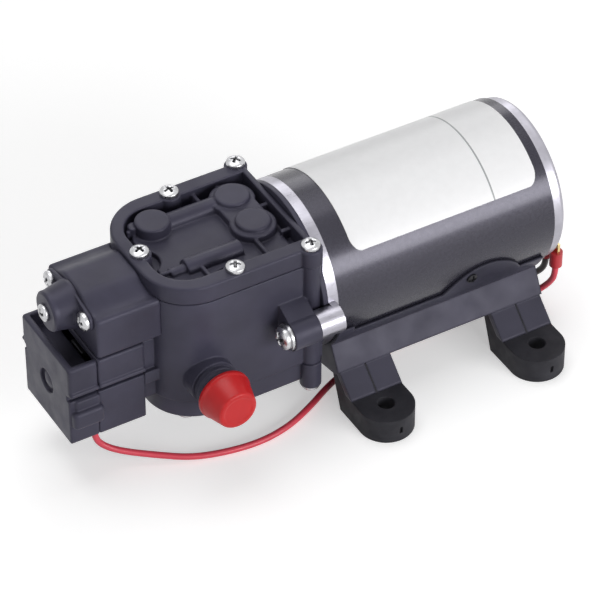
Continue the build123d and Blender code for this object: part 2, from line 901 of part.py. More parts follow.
def make_ball_bearing(left_x, z):
    """Ball bearing as its two rings and a row of balls in a cage that fills the track."""
    right_x = left_x + bearing_width
    bore = shaft_radius + running_gap
    if z != shaft_height:
        bore = journal_radius + running_gap
    ring = rod_x(bearing_radius, left_x, right_x, 0, z)
    ring -= rod_x(bore, left_x - overrun, right_x + overrun, 0, z)
    groove_inner = bore + bearing_ring_wall / 2
    groove_outer = bearing_radius - bearing_ring_wall / 2
    shallow = bearing_groove_depth
    for start in (left_x - overrun, right_x - shallow):
        groove = rod_x(groove_outer, start, start + overrun + shallow, 0, z)
        groove -= rod_x(groove_inner, start - overrun, start + overrun * 3, 0, z)
        ring -= groove
    return ring


def make_magnets():
    """Two arc magnets bonded inside the can."""
    left = core_centre_x - magnet_length / 2
    right = core_centre_x + magnet_length / 2
    shell = rod_x(can_bore - seat_gap, left, right)
    shell -= rod_x(can_bore - magnet_thickness, left - overrun, right + overrun)
    reach = can_radius * 2
    half_angle = math.radians(magnet_span / 2)
    wedge = [
        (0, shaft_height),
        (-reach * math.sin(half_angle), shaft_height + reach * math.cos(half_angle)),
        (-reach * 2, shaft_height),
        (-reach * math.sin(half_angle), shaft_height - reach * math.cos(half_angle)),
    ]
    front = shell & prism_x(wedge, left, right)
    return group([front, mirror(front, about=Plane.XZ)])


def make_motor_shaft():
    """Ground shaft with a thinner nose for the eccentric."""
    nose_x = bearing_left_x
    step_x = bearing_right_x + weight_length + moving_gap
    shaft = rod_x(shaft_radius, step_x, tail_end_x - tail_cap_wall - shaft_tail_proud)
    return shaft + rod_x(shaft_nose_radius, nose_x, step_x)


def make_armature_core():
    """Laminated core with winding slots."""
    left = core_centre_x - core_length / 2
    right = core_centre_x + core_length / 2
    core = rod_x(core_radius, left, right)
    slot = block(
        left - overrun,
        right + overrun,
        -core_slot_width / 2,
        core_slot_width / 2,
        core_radius - core_slot_depth,
        core_radius + overrun,
    )
    for index in range(core_tooth_count):
        core -= Pos(0, 0, shaft_height) * Rot(index * 360 / core_tooth_count, 0, 0) * slot
    return core - rod_x(shaft_radius + seat_gap, left - overrun, right + overrun)


def make_windings():
    """End turns of the winding, one rounded ring at each end of the core."""
    rings = []
    outer = core_radius - winding_inset
    inner = outer - winding_wall
    for side in (-1, 1):
        start = core_centre_x + side * core_length / 2
        end = start + side * winding_length
        shoulder = start + side * winding_shoulder
        profile = [(start, inner), (start, outer), (shoulder, outer), (end, outer - winding_neck),
                   (end, inner + winding_neck), (shoulder, inner)]
        rings.append(turned_x(profile))
    return group(rings)


def make_commutator():
    """Copper commutator with a groove between each two bars."""
    left = commutator_x
    right = left + commutator_length
    bars = rod_x(commutator_radius, left, right)
    groove = block(
        left - overrun,
        right + overrun,
        -commutator_groove / 2,
        commutator_groove / 2,
        commutator_radius - commutator_groove,
        commutator_radius + overrun,
    )
    for index in range(core_tooth_count):
        bars -= Pos(0, 0, shaft_height) * Rot(index * 360 / core_tooth_count, 0, 0) * groove
    return bars - rod_x(shaft_radius + seat_gap, left - overrun, right + overrun)


def make_brushes():
    """Two carbon brushes beside the commutator."""
    inner = commutator_radius + brush_gap
    brush = block(
        brush_x - brush_width / 2,
        brush_x + brush_width / 2,
        -inner - brush_length,
        -inner,
        shaft_height - brush_thickness / 2,
        shaft_height + brush_thickness / 2,
    )
    return group([brush, mirror(brush, about=Plane.XZ)])


def brush_spring_start():
    """Distance from the axis at which a brush spring begins."""
    return commutator_radius + brush_gap + brush_length + brush_spring_wire


def brush_spring_length():
    """Length of a brush spring between the brush and the end of its box."""
    room = can_bore - brush_box_wall * 2 - brush_spring_start()
    return room - brush_spring_wire * 2


def make_brush_springs():
    """Two small coil springs that press the brushes on the commutator."""
    steps = brush_spring_turns * 4

    def place(t):
        turn = math.pi * t / 2
        return (
            brush_x + brush_spring_radius * math.cos(turn),
            -brush_spring_start() - brush_spring_length() * t / steps,
            shaft_height + brush_spring_radius * math.sin(turn),
        )

    edges, points, slopes = wound_edges(place, steps)
    spring = tube(edges, brush_spring_wire / 2)
    print("brush spring gap", round(least_gap(place, steps, 3, brush_spring_wire), 2))
    return group([spring, mirror(spring, about=Plane.XZ)])


def make_brush_holder():
    """Insulating plate across the can with a box for each brush."""
    box_half = brush_width / 2 + brush_box_wall + seat_gap
    left = brush_x + box_half
    plate = rod_x(can_bore - seat_gap, left, left + holder_thickness)
    plate -= rod_x(commutator_radius + moving_gap, left - overrun, left + holder_thickness + overrun)
    inner = commutator_radius + moving_gap * 2
    outer = can_bore - brush_box_wall
    box = block(
        brush_x - box_half,
        left + holder_thickness,
        -outer,
        -inner,
        shaft_height - brush_thickness / 2 - brush_box_wall,
        shaft_height + brush_thickness / 2 + brush_box_wall,
    )
    room = block(
        brush_x - brush_width / 2 - seat_gap,
        brush_x + brush_width / 2 + seat_gap,
        -outer + brush_box_wall,
        -inner + overrun,
        shaft_height - brush_thickness / 2 - seat_gap,
        shaft_height + brush_thickness / 2 + seat_gap,
    )
    holder = plate + both_sides(box)
    holder -= both_sides(room)
    for slot_y in (red_slot_y, black_slot_y):
        holder -= terminal_strip(slot_y, seat_gap)
    return holder


def terminal_strip(slot_y, grow):
    """Level part of a terminal, from the brush holder out through the tail cap."""
    start = brush_x + brush_width / 2 + brush_box_wall + seat_gap + holder_thickness / 2
    return block(
        start - grow,
        cap_end_x + terminal_reach,
        slot_y - terminal_width / 2 - grow,
        slot_y + terminal_width / 2 + grow,
        terminal_slot_z - terminal_thickness - grow,
        terminal_slot_z + grow,
    )


def terminal_piece(slot_y, tab_y):
    """Whole terminal: the level strip, the plate outside the cap and its narrow tab."""
    outer = cap_end_x + terminal_reach
    plate = block(
        outer - terminal_thickness,
        outer,
        min(slot_y, tab_y) - terminal_width / 2,
        max(slot_y, tab_y) + terminal_width / 2,
        sleeve_top_z,
        terminal_slot_z,
    )
    tab = block(
        outer - terminal_thickness,
        outer,
        tab_y - lead_radius,
        tab_y + lead_radius,
        sleeve_bottom_z + lead_radius,
        sleeve_top_z,
    )
    return terminal_strip(slot_y, 0) + plate + tab


def make_terminals():
    """Two brass terminals beside each other at the tail."""
    red = terminal_piece(red_slot_y, red_terminal_y)
    return group([red, terminal_piece(black_slot_y, black_terminal_y)])


def make_sleeves():
    """Insulating sleeves over the joints of the leads and their terminals."""
    sleeves = []
    for slot_y, tab_y in ((red_slot_y, red_terminal_y), (black_slot_y, black_terminal_y)):
        sleeve = rod_z(sleeve_radius, sleeve_bottom_z, sleeve_top_z, sleeve_x, tab_y)
        sleeves.append(sleeve - terminal_piece(slot_y, tab_y))
    return group(sleeves)


def make_tail_cap():
    """Pressed cap that closes the can, with a hub for the rear bearing."""
    cap = rod_x(tail_cap_radius, can_tail_x, cap_end_x)
    cap = cap.fillet(tail_cap_wall, cap.edges().filter_by(GeomType.CIRCLE).sort_by(Axis.X)[-1:])
    cap += rod_x(can_bore - seat_gap, can_tail_x - tail_spigot_length, can_tail_x)
    hub = rod_x(tail_hub_radius, can_tail_x, tail_end_x)
    hub = hub.fillet(tail_cap_wall, hub.edges().filter_by(GeomType.CIRCLE).sort_by(Axis.X)[-1:])
    hollow_x = can_tail_x - tail_spigot_length - overrun
    cap -= rod_x(can_bore - tail_cap_wall, hollow_x, cap_end_x - tail_cap_wall)
    cap += hub
    cap -= rod_x(bearing_radius + seat_gap, can_tail_x - overrun, rear_bearing_x + bearing_width)
    for slot_y in (red_slot_y, black_slot_y):
        cap -= terminal_strip(slot_y, terminal_slot_gap)
    return cap


def pump_plan(grow, corner):
    """Plan of the pump head: square at the motor, rounded at the switch end."""
    left = body_left_x - grow
    half = body_half_width + grow
    plan = [(flange_x, -half), (flange_x, half), (left, half), (left, -half)]
    solid = prism_z(plan, 0, lid_top_z)
    edges = solid.edges().filter_by(Axis.Z).sort_by(Axis.X)[:2]
    return solid.fillet(corner, edges)


def make_lug():
    """Side lug of the body that takes a motor screw, with a gusset above it."""
    lug = rod_x(lug_radius, lug_front_x, ear_front_x, -ear_offset)
    inner = body_half_width - overrun
    lug += block(
        lug_front_x,
        ear_front_x,
        -ear_offset,
        -inner,
        shaft_height - lug_radius,
        shaft_height + lug_radius,
    )
    gusset = [
        (-ear_offset, shaft_height + lug_radius),
        (-inner, shaft_height + lug_radius + lug_gusset),
        (-inner, shaft_height),
        (-ear_offset, shaft_height),
    ]
    lug += prism_x(gusset, lug_front_x, ear_front_x)
    hole = motor_screw_radius + seat_gap
    return lug - rod_x(hole, lug_front_x - overrun, ear_front_x + overrun, -ear_offset)


def make_port():
    """Threaded port on the front of the body, bore open into its passage."""
    start = body_half_width - port_sink
    end = port_end_y
    port = rod_y(port_root_radius, -end, -start, port_x, port_z)
    port += rod_y(port_collar_radius, -body_half_width - port_collar_length, -start, port_x, port_z)
    crest = port_thread_pitch * port_crest_share
    first = body_half_width + port_collar_length + port_thread_pitch
    while first + crest < end:
        profile = [
            (-first, 0),
            (-first, port_root_radius),
            (-first - crest / 2, port_thread_radius),
            (-first - crest, port_root_radius),
            (-first - crest, 0),
        ]
        port += turned_y(profile, port_x, port_z)
        first += port_thread_pitch
    return port


def make_pump_body():
    """Pump body: crank chamber, diaphragm seat, fluid passages, ports, flange and screw columns."""
    body = pump_plan(0, body_corner)
    body &= block(body_left_x, flange_x, -can_radius, can_radius, body_bottom_z, body_top_z)
    body += rod_x(can_radius, flange_x, bell_front_x)
    body += block(
        flange_x, bell_front_x, -body_half_width, body_half_width, body_bottom_z, body_top_z
    )
    for side in (-1, 1):
        body += rod_z(column_radius, body_bottom_z, body_top_z, column_x, side * column_y)
    body += both_sides(make_lug())
    body += both_sides(make_port())
    body += rod_x(spigot_radius, body_left_x - spigot_length, body_left_x, 0, switch_axis_z)
    body += block(
        block_right_x, body_left_x + body_corner, -neck_half_width, neck_half_width,
        body_bottom_z, neck_top_z
    )
    rib_y = neck_half_width + neck_rib_out
    body += block(
        block_right_x, body_left_x + body_corner, -rib_y, rib_y,
        neck_rib_z, neck_rib_z + neck_rib_height
    )
    notch = rod_x(ear_radius + ear_notch_gap, ear_front_x, bell_front_x + overrun, -ear_offset)
    body -= both_sides(notch)
    body -= block(
        crank_x - chamber_half_length,
        crank_x + chamber_half_length,
        -chamber_half_width,
        chamber_half_width,
        body_bottom_z - overrun,
        chamber_top_z,
    )
    throat = diaphragm_radius - diaphragm_bead_wall
    body -= rod_z(throat, chamber_top_z - overrun, bead_seat_z + overrun, crank_x, 0)
    body -= rod_z(diaphragm_radius + seat_gap, bead_seat_z, body_top_z + overrun, crank_x, 0)
    body -= plate_shape(seat_gap, plate_seat_z, body_top_z + overrun)
    body -= rod_x(shaft_radius + shaft_hole_slack, crank_x, bell_front_x + overrun)
    outer = port_end_y + overrun
    body -= rod_y(port_bore_radius, -outer, outlet_passage_y, port_x, port_z)
    body -= rod_y(port_bore_radius, inlet_passage_y, outer, port_x, port_z)
    for passage_y in (outlet_passage_y, inlet_passage_y):
        body -= rod_z(passage_radius, port_z, plate_seat_z + overrun, port_x, passage_y)
    sense_z = plate_seat_z - passage_radius
    sense_x = port_x - passage_radius
    body -= rod_y(sense_hole_radius, outlet_passage_y, 0, port_x, sense_z)
    body -= rod_x(sense_hole_radius, body_left_x - spigot_length - overrun, port_x, 0, sense_z)
    body -= rod_x(
        spigot_dish_radius, body_left_x - spigot_length - overrun,
        body_left_x - spigot_length + spigot_dish_depth, 0, switch_axis_z
    )
    for x, y in lid_screw_places:
        body -= rod_z(screw_radius + seat_gap, body_top_z - lid_screw_depth, body_top_z + overrun, x, y)
    for x, y, z in cover_screw_places:
        body -= rod_z(
            screw_radius + seat_gap, body_bottom_z - overrun, body_bottom_z + cover_screw_depth, x, y
        )
    return body


def plate_shape(grow, z0, z1):
    """Plan shared by the pocket in the body, the valve plate and the gasket."""
    half = plate_half_width + grow
    solid = block(plate_left_x - grow, plate_right_x + grow, -half, half, z0, z1)
    edges = solid.edges().filter_by(Axis.Z).sort_by(Axis.X)[:2]
    return solid.fillet(plate_pocket_corner, edges)


def fluid_holes(part, z0, z1):
    """Cut the two upright passages through a flat piece."""
    for passage_y in (outlet_passage_y, inlet_passage_y):
        part -= rod_z(passage_radius, z0 - overrun, z1 + overrun, port_x, passage_y)
    return part


def make_valve_plate():
    """Plate over the diaphragm, dished below, with a ring of holes under each valve."""
    top = plate_seat_z + plate_thickness
    plate = plate_shape(0, plate_seat_z, top)
    plate = fluid_holes(plate, plate_seat_z, top)
    plate -= rod_z(dish_radius, plate_seat_z - overrun, plate_seat_z + dish_depth, crank_x, 0)
    for valve_y in (inlet_valve_y, outlet_valve_y):
        plate -= rod_z(valve_stem_radius + seat_gap, plate_seat_z, top + overrun, valve_x, valve_y)
        for index in range(valve_feed_count):
            turn = math.radians(45 + index * 360 / valve_feed_count)
            plate -= rod_z(
                valve_feed_radius,
                plate_seat_z,
                top + overrun,
                valve_x + valve_feed_circle * math.cos(turn),
                valve_y + valve_feed_circle * math.sin(turn),
            )
    return plate


def make_check_valve(valve_y, seat_z, way):
    """Umbrella valve: a thin cap on a stem with a bulb that snaps through the plate."""
    web = plate_thickness - dish_depth
    profile = [
        (0, way * valve_cap_thickness),
        (valve_crown_radius, way * valve_cap_thickness),
        (valve_cap_radius, way * valve_edge_thickness),
        (valve_cap_radius, 0),
        (valve_stem_radius, 0),
        (valve_stem_radius, -way * web),
        (valve_bulb_radius, -way * web),
        (valve_tip_radius, -way * (web + valve_bulb_length)),
        (0, -way * (web + valve_bulb_length)),
    ]
    return turned_z([(radius, seat_z + z) for radius, z in profile], valve_x, valve_y)


def lid_cavity(z0, z1):
    """Chambers under the lid: round ones over the valves and channels to the passages."""
    cavity = rod_z(lid_cavity_radius, z0, z1, inlet_boss_x, inlet_boss_y)
    cavity += rod_z(valve_cap_radius + moving_gap, z0, z1, valve_x, inlet_valve_y)
    cavity += rod_z(lid_cavity_radius, z0, z1, outlet_boss_x, outlet_boss_y)
    return cavity


def lid_channels(z0, half, height):
    """Square channels along the underside from the passages to the valve chambers."""
    z1 = z0 + height
    cut = block(port_x, inlet_boss_x, inlet_boss_y - half, inlet_boss_y + half, z0, z1)
    cut += block(
        port_x, outlet_boss_x, outlet_passage_y - half, outlet_passage_y + half, z0, z1
    )
    cut += block(
        outlet_boss_x - half, outlet_boss_x + half, outlet_passage_y - half, outlet_boss_y, z0, z1
    )
    return cut


def make_gasket():
    """Flat gasket between valve plate and lid, open over the passages and chambers."""
    top = body_top_z
    bottom = top - gasket_thickness
    gasket = plate_shape(0, bottom, top)
    gasket = fluid_holes(gasket, bottom, top)
    gasket -= lid_cavity(bottom - overrun, top + overrun)
    return gasket


def lid_relief():
    """Raised forms on the lid: valve bosses on a waisted plate, the far boss and two pipes."""
    eight_top = eight_top_z
    base = body_top_z
    relief = rod_z(eight_radius, base, eight_top, inlet_boss_x, inlet_boss_y - cap_boss_rise)
    relief += rod_z(eight_radius, base, eight_top, outlet_boss_x, outlet_boss_y)
    relief += block(
        outlet_boss_x - eight_waist,
        outlet_boss_x + eight_waist,
        outlet_boss_y,
        inlet_boss_y,
        base,
        eight_top,
    )
    for x, y in ((inlet_boss_x, inlet_boss_y - cap_boss_rise), (outlet_boss_x, outlet_boss_y)):
        relief += rod_z(cap_boss_radius, base, eight_top + cap_boss_rise, x, y)
    far_y = far_boss_y - cap_boss_rise
    relief += rod_z(cap_boss_radius, base, eight_top + cap_boss_rise, far_boss_x, far_y)
    relief += rod_z(far_nib, base, eight_top, far_boss_x - cap_boss_radius, far_y + far_nib)
    relief += rod_x(pipe_radius, far_boss_x, outlet_boss_x, back_pipe_y, lid_floor_z)
    relief += rod_x(pipe_radius, port_x, front_pipe_end_x, outlet_passage_y, lid_floor_z)
    relief += rod_x(pipe_nose_radius, port_x - pipe_nose_length, port_x, outlet_passage_y, lid_floor_z)
    keep = block(
        plate_left_x, flange_x, -body_half_width, body_half_width, base, lid_top_z + overrun
    )
    return relief & keep


def lid_pockets():
    """Two deep pockets, with a rib between them, between the valve bosses and the motor side."""
    right = flange_x - lid_rim_end
    left = right - lid_pocket_length
    floor = body_top_z + lid_pocket_floor
    pockets = block(left, right, -lid_pocket_reach, lid_pocket_reach, floor, lid_top_z)
    return pockets - block(
        left, right, -lid_pocket_gap / 2, lid_pocket_gap / 2, floor, lid_floor_z + eight_rise
    )


def make_lid():
    """Lid of the pump head: a rim round a sunken floor with the relief on it."""
    lid = pump_plan(0, body_corner)
    lid &= block(body_left_x, flange_x, -can_radius, can_radius, body_top_z, lid_top_z)
    for side in (-1, 1):
        lid += rod_z(lid_lug_radius, body_top_z, lid_top_z, column_x, side * column_y)
    inner = block(
        body_left_x + lid_rim_nose,
        flange_x - lid_rim_end,
        -body_half_width + lid_rim,
        body_half_width - lid_rim,
        lid_floor_z,
        lid_top_z + overrun,
    )
    inner = inner.fillet(lid_inner_corner, inner.edges().filter_by(Axis.Z).sort_by(Axis.X)[:2])
    for x, y in lid_screw_places:
        inner -= rod_z(lid_screw_boss, lid_floor_z, lid_top_z + overrun, x, y)
    lid -= inner
    lid -= lid_pockets()
    lid += lid_relief()
    lid -= lid_cavity(body_top_z - overrun, eight_top_z - lid_web)
    lid -= lid_channels(body_top_z - overrun, pipe_bore_radius, overrun + lid_floor)
    for passage_y in (outlet_passage_y, inlet_passage_y):
        lid -= rod_z(passage_radius, body_top_z - overrun, lid_floor_z - lid_web, port_x, passage_y)
    lid -= rod_x(can_radius + seat_gap, flange_x, bell_front_x + overrun)
    for x, y in lid_screw_places:
        lid -= rod_z(screw_radius + seat_gap, body_top_z - overrun, lid_top_z + overrun, x, y)
    return lid


def make_lid_screws():
    """Five screws that hold the lid."""
    length = lid_top_z - body_top_z + lid_screw_depth - seat_gap
    screw = pan_screw(screw_head_radius, screw_head_height, screw_radius, length)
    return group([Pos(x, y, lid_top_z) * screw for x, y in lid_screw_places])


def make_bottom_cover():
    """Tray that closes the crank chamber from below."""
    cover = pump_plan(-cover_inset, body_corner)
    cover &= block(
        body_left_x, bell_front_x, -can_radius, can_radius, cover_bottom_z, body_bottom_z
    )
    for side in (-1, 1):
        cover += rod_z(cover_lug_radius, cover_lug_bottom_z, body_bottom_z, column_x, side * column_y)
    cover -= block(
        crank_x - chamber_half_length,
        crank_x + chamber_half_length,
        -chamber_half_width,
        chamber_half_width,
        cover_bottom_z + cover_floor,
        body_bottom_z + overrun,
    )
    for x, y, z in cover_screw_places:
        cover -= rod_z(screw_radius + seat_gap, z - overrun, body_bottom_z + overrun, x, y)
    return cover


def make_cover_screws():
    """Four screws from below, head down."""
    screws = []
    for x, y, z in cover_screw_places:
        length = body_bottom_z - z + cover_screw_depth - seat_gap
        screw = pan_screw(screw_head_radius, screw_head_height, screw_radius, length)
        screws.append(Pos(x, y, z) * Rot(180, 0, 0) * screw)
    return group(screws)


def make_motor_screws():
    """Two screws that hold the pump on the bell's ears."""
    length = washer_thickness + lug_length + ear_back_x - ear_front_x
    screw = pan_screw(motor_screw_head_radius, motor_screw_head, motor_screw_radius, length)
    seat_x = lug_front_x - washer_thickness
    turned = Rot(0, -90, 0) * screw
    return group([Pos(seat_x, side * ear_offset, shaft_height) * turned for side in (-1, 1)])


def make_motor_washers():
    """A washer under each motor screw's head."""
    rings = []
    for side in (-1, 1):
        y = side * ear_offset
        ring = rod_x(washer_radius, lug_front_x - washer_thickness, lug_front_x, y)
        ring -= rod_x(
            motor_screw_radius + seat_gap, lug_front_x - washer_thickness - overrun,
            lug_front_x + overrun, y
        )
        rings.append(ring)
    return group(rings)


def make_diaphragm():
    """Rubber diaphragm at the top of its stroke, with a bead, a rolling fold and a hub."""
    bead_top = plate_seat_z
    bead_inner = diaphragm_radius - diaphragm_bead_wall
    hub_top = piston_bottom_z
    fold = diaphragm_sheet / 2
    hub = rod_pad_radius + fold
    middle = (hub + bead_inner) / 2
    profile = [
        (piston_screw_radius + seat_gap, pad_top_z),
        (hub, pad_top_z),
        (middle, bead_seat_z - fold),
        (bead_inner, bead_seat_z),
        (diaphragm_radius, bead_seat_z),
        (diaphragm_radius, bead_top),
        (bead_inner, bead_top),
        (middle, bead_seat_z - fold + diaphragm_sheet),
        (hub, hub_top),
        (piston_screw_radius + seat_gap, hub_top),
    ]
    return turned_z(profile, crank_x, 0)


def make_piston_plate():
    """Plate that clamps the diaphragm on the rod, sunk for the screw's head."""
    bottom = piston_bottom_z
    top = piston_top_z
    plate = rod_z(piston_plate_radius, bottom, top, crank_x, 0)
    plate -= rod_z(piston_screw_head_radius + seat_gap, top - piston_screw_head, top + overrun, crank_x, 0)
    return plate - rod_z(piston_screw_radius + seat_gap, bottom - overrun, top, crank_x, 0)


def make_piston_screw():
    """Screw through the plate and the diaphragm into the rod."""
    top = piston_top_z
    screw = rod_z(piston_screw_head_radius, top - piston_screw_head, top, crank_x, 0)
    screw += rod_z(piston_screw_radius, pad_top_z - piston_screw_depth, top - piston_screw_head, crank_x, 0)
    slot = block(
        crank_x - screw_recess_length / 2,
        crank_x + screw_recess_length / 2,
        -screw_recess_width / 2,
        screw_recess_width / 2,
        top - piston_screw_slot,
        top + overrun,
    )
    return screw - slot


def make_connecting_rod():
    """Ring round the crank bearing with a flat pad under the diaphragm."""
    rod = rod_x(rod_ring_radius, bearing_left_x, bearing_right_x, 0, crank_z)
    rod += rod_z(rod_pad_radius, pad_top_z - rod_pad_thickness, pad_top_z, crank_x, 0)
    rod -= rod_x(
        bearing_radius + seat_gap, crank_x - rod_pad_radius * 2, crank_x + rod_pad_radius * 2, 0, crank_z
    )
    return rod - rod_z(
        piston_screw_radius + seat_gap, pad_top_z - piston_screw_depth - seat_gap,
        pad_top_z + overrun, crank_x, 0
    )


def make_eccentric():
    """Crank journal with its counterweight, on the shaft's nose."""
    weight_right = bearing_right_x + weight_length
    journal = rod_x(journal_radius, bearing_left_x, bearing_right_x, 0, crank_z)
    weight = rod_x(weight_radius, bearing_right_x, weight_right)
    weight -= block(
        bearing_right_x - overrun, weight_right + overrun, -weight_radius * 2, weight_radius * 2,
        crank_z + weight_cut, crank_z + weight_radius
    )
    piece = journal + weight
    piece -= rod_x(shaft_nose_radius + seat_gap, bearing_left_x - overrun, weight_right + overrun)
    middle = bearing_right_x + weight_length / 2
    return piece - rod_z(
        grub_radius + seat_gap, shaft_height - weight_radius - overrun, shaft_height, middle, 0
    )


def make_grub_screw():
    """Set screw that locks the eccentric on the shaft."""
    middle = bearing_right_x + weight_length / 2
    top = shaft_height - shaft_nose_radius
    screw = rod_z(grub_radius, top - grub_length, top, middle, 0)
    low = top - grub_length
    socket = rod_z(grub_socket_radius, low - overrun, low + grub_socket_depth, middle, 0)
    return screw - socket


def make_port_cap(side):
    """Push-on cap, tapered towards its face, with a small bead round the rim."""
    rim_y = cap_face_y - cap_length
    bore = port_thread_radius + running_gap
    depth = port_end_y + seat_gap
    profile = [
        (rim_y, bore),
        (rim_y, cap_rim_radius + cap_rim_bead),
        (rim_y + cap_rim_width, cap_rim_radius + cap_rim_bead),
        (rim_y + cap_rim_width, cap_rim_radius),
        (cap_face_y - cap_rim_bead, cap_face_radius),
        (cap_face_y, cap_face_radius - cap_rim_bead),
        (cap_face_y, 0),
        (cap_face_y - cap_end_wall, 0),
        (cap_face_y - cap_end_wall, port_bore_radius),
        (depth, port_bore_radius),
        (depth, bore),
    ]
    return turned_y([(side * y, radius) for y, radius in profile], port_x, port_z)


def switch_outline():
    """End view of the switch housing, as (y, z) points."""
    half = [
        (switch_half_width, switch_bottom_z),
        (switch_half_width, switch_axis_z + switch_side_rise),
        (switch_slope_half, switch_axis_z + switch_slope_rise),
        (switch_crown_half, switch_axis_z + switch_crown_rise),
    ]
    return half + [(-y, z) for y, z in reversed(half)]


def make_switch_housing():
    """Upper housing of the switch: plunger bore, arm slot and screw holes."""
    housing = prism_x(switch_outline(), switch_left_x, body_left_x + body_corner)
    housing -= pump_plan(0, body_corner)
    disc_bore = spigot_radius + seat_gap
    housing -= rod_x(disc_bore, plunger_x, body_left_x + body_corner, 0, switch_axis_z)
    plunger_bore = plunger_radius + running_gap
    housing -= rod_x(plunger_bore, switch_left_x - overrun, plunger_x + overrun, 0, switch_axis_z)
    housing -= block(
        arm_left_x - plunger_travel - moving_gap,
        arm_right_x + moving_gap,
        -arm_width / 2 - moving_gap,
        arm_width / 2 + moving_gap,
        switch_bottom_z - overrun,
        switch_axis_z,
    )
    for side in (-1, 1):
        housing -= rod_x(
            screw_radius + seat_gap, switch_left_x - overrun, switch_left_x + boss_screw_depth,
            side * boss_screw_side, boss_screw_z
        )
    return housing


def make_pressure_diaphragm():
    """Rubber disc that the water presses against the plunger."""
    return rod_x(spigot_radius, plunger_x, plunger_x + diaphragm_disc, 0, switch_axis_z)


def make_plunger():
    """Plunger with an arm that reaches down to the snap switch."""
    right = plunger_x
    left = right - plunger_length
    plunger = rod_x(plunger_radius, left, right, 0, switch_axis_z)
    plunger += block(
        arm_left_x, arm_right_x, -arm_width / 2, arm_width / 2, arm_foot_z, switch_axis_z
    )
    return plunger


def make_spring_seat():
    """Steel disc between the adjusting screw and the spring."""
    left = spring_seat_x
    return rod_x(
        spring_bore_radius - running_gap, left, left + spring_seat_thickness, 0, switch_axis_z
    )


def make_pressure_spring():
    """Coil spring between its seat and the plunger."""
    steps = spring_turns * 4
    left = spring_seat_x + spring_seat_thickness + spring_wire / 2
    right = plunger_x - plunger_length - spring_wire / 2

    def place(t):
        turn = math.pi * t / 2
        return (
            left + (right - left) * t / steps,
            spring_radius * math.cos(turn),
            switch_axis_z + spring_radius * math.sin(turn),
        )

    edges, points, slopes = wound_edges(place, steps)
    print("pressure spring gap", round(least_gap(place, steps, 3, spring_wire), 2))
    return tube(edges, spring_wire / 2)


def make_switch_boss():
    """Spring boss on a plate, screwed to the end of the switch housing."""
    plate_x = boss_plate_x
    end = boss_x
    knee = plate_x - boss_taper_length
    boss = turned_x(
        [
            (switch_left_x, 0),
            (switch_left_x, boss_base_radius),
            (plate_x, boss_base_radius),
            (knee, boss_tip_radius),
            (end + boss_end_bevel, boss_tip_radius),
            (end, boss_tip_radius - boss_end_bevel),
            (end, 0),
        ],
        switch_axis_z,
    )
    for side in (-1, 1):
        y = side * boss_screw_side
        boss += rod_x(boss_lobe_radius, plate_x, switch_left_x, y, boss_screw_z)
        boss += prism_x(
            [
                (y, boss_screw_z - boss_lobe_radius),
                (y, boss_screw_z + boss_lobe_radius),
                (0, switch_axis_z + boss_base_radius),
                (0, switch_axis_z - boss_base_radius),
            ],
            plate_x,
            switch_left_x,
        )
    boss -= rod_x(spring_bore_radius, end + boss_end_wall, switch_left_x + overrun, 0, switch_axis_z)
    boss -= rod_x(adjust_screw_radius + running_gap, end - overrun, switch_left_x, 0, switch_axis_z)
    mark_x = plate_x - boss_mark_inset
    boss -= block(
        mark_x - boss_mark_length,
        mark_x,
        -boss_base_radius,
        -boss_base_radius + boss_mark_depth,
        switch_axis_z - boss_mark_height / 2,
        switch_axis_z + boss_mark_height / 2,
    )
    for side in (-1, 1):
        boss -= rod_x(
            screw_radius + seat_gap, plate_x - overrun, switch_left_x + overrun,
            side * boss_screw_side, boss_screw_z
        )
    return boss


def make_adjust_screw():
    """Screw in the end of the boss that sets the cut-out pressure."""
    length = boss_end_wall - seat_gap
    screw = pan_screw(adjust_head_radius, adjust_head, adjust_screw_radius, length)
    return Pos(boss_x - seat_gap, 0, switch_axis_z) * Rot(0, -90, 0) * screw


def make_boss_screws():
    """Two screws through the boss plate into the switch housing."""
    length = boss_plate + boss_screw_depth - seat_gap
    screw = pan_screw(screw_head_radius, screw_head_height, screw_radius, length)
    x = boss_plate_x
    turned = Rot(0, -90, 0) * screw
    return group([Pos(x, side * boss_screw_side, boss_screw_z) * turned for side in (-1, 1)])


def block_outline():
    """End view of the switch's lower block, with a raised panel and a groove on each side."""
    groove_z = block_bottom_z + block_groove_rise
    half = [
        (block_half_width, block_bottom_z),
        (block_half_width, groove_z - block_groove_height),
        (block_half_width - block_groove, groove_z - block_groove_height),
        (block_half_width - block_groove, groove_z),
        (block_panel_half_width, block_bottom_z + block_panel_rise),
        (block_panel_half_width, block_top_z - block_groove),
        (block_panel_half_width - block_groove, block_top_z),
    ]
    return half + [(-y, z) for y, z in reversed(half)]


def lead_hole():
    """Hole at the parting line that the red lead leaves through."""
    x, y, z = red_route[0]
    return rod_z(lead_radius + seat_gap, block_bottom_z - overrun, block_floor_z + overrun, x, y)


def make_switch_base():
    """Open box that holds the snap switch, on the neck of the pump body."""
    base = prism_x(block_outline(), switch_left_x, block_right_x)
    base -= block(
        switch_left_x - overrun,
        block_right_x - block_wall,
        -block_half_width + block_wall,
        block_half_width - block_wall,
        block_floor_z,
        block_top_z - block_wall,
    )
    base -= block(
        arm_left_x - plunger_travel - moving_gap,
        arm_right_x + moving_gap,
        -arm_width / 2 - moving_gap,
        arm_width / 2 + moving_gap,
        block_top_z - block_wall - overrun,
        block_top_z + overrun,
    )
    shelf = block(
        block_right_x - block_wall - micro_shelf_length,
        block_right_x - block_wall,
        -micro_width / 2 - block_wall - seat_gap,
        -micro_width / 2 - seat_gap,
        block_floor_z,
        block_floor_z + micro_shelf_height,
    )
    base += both_sides(shelf)
    return base - lead_hole()


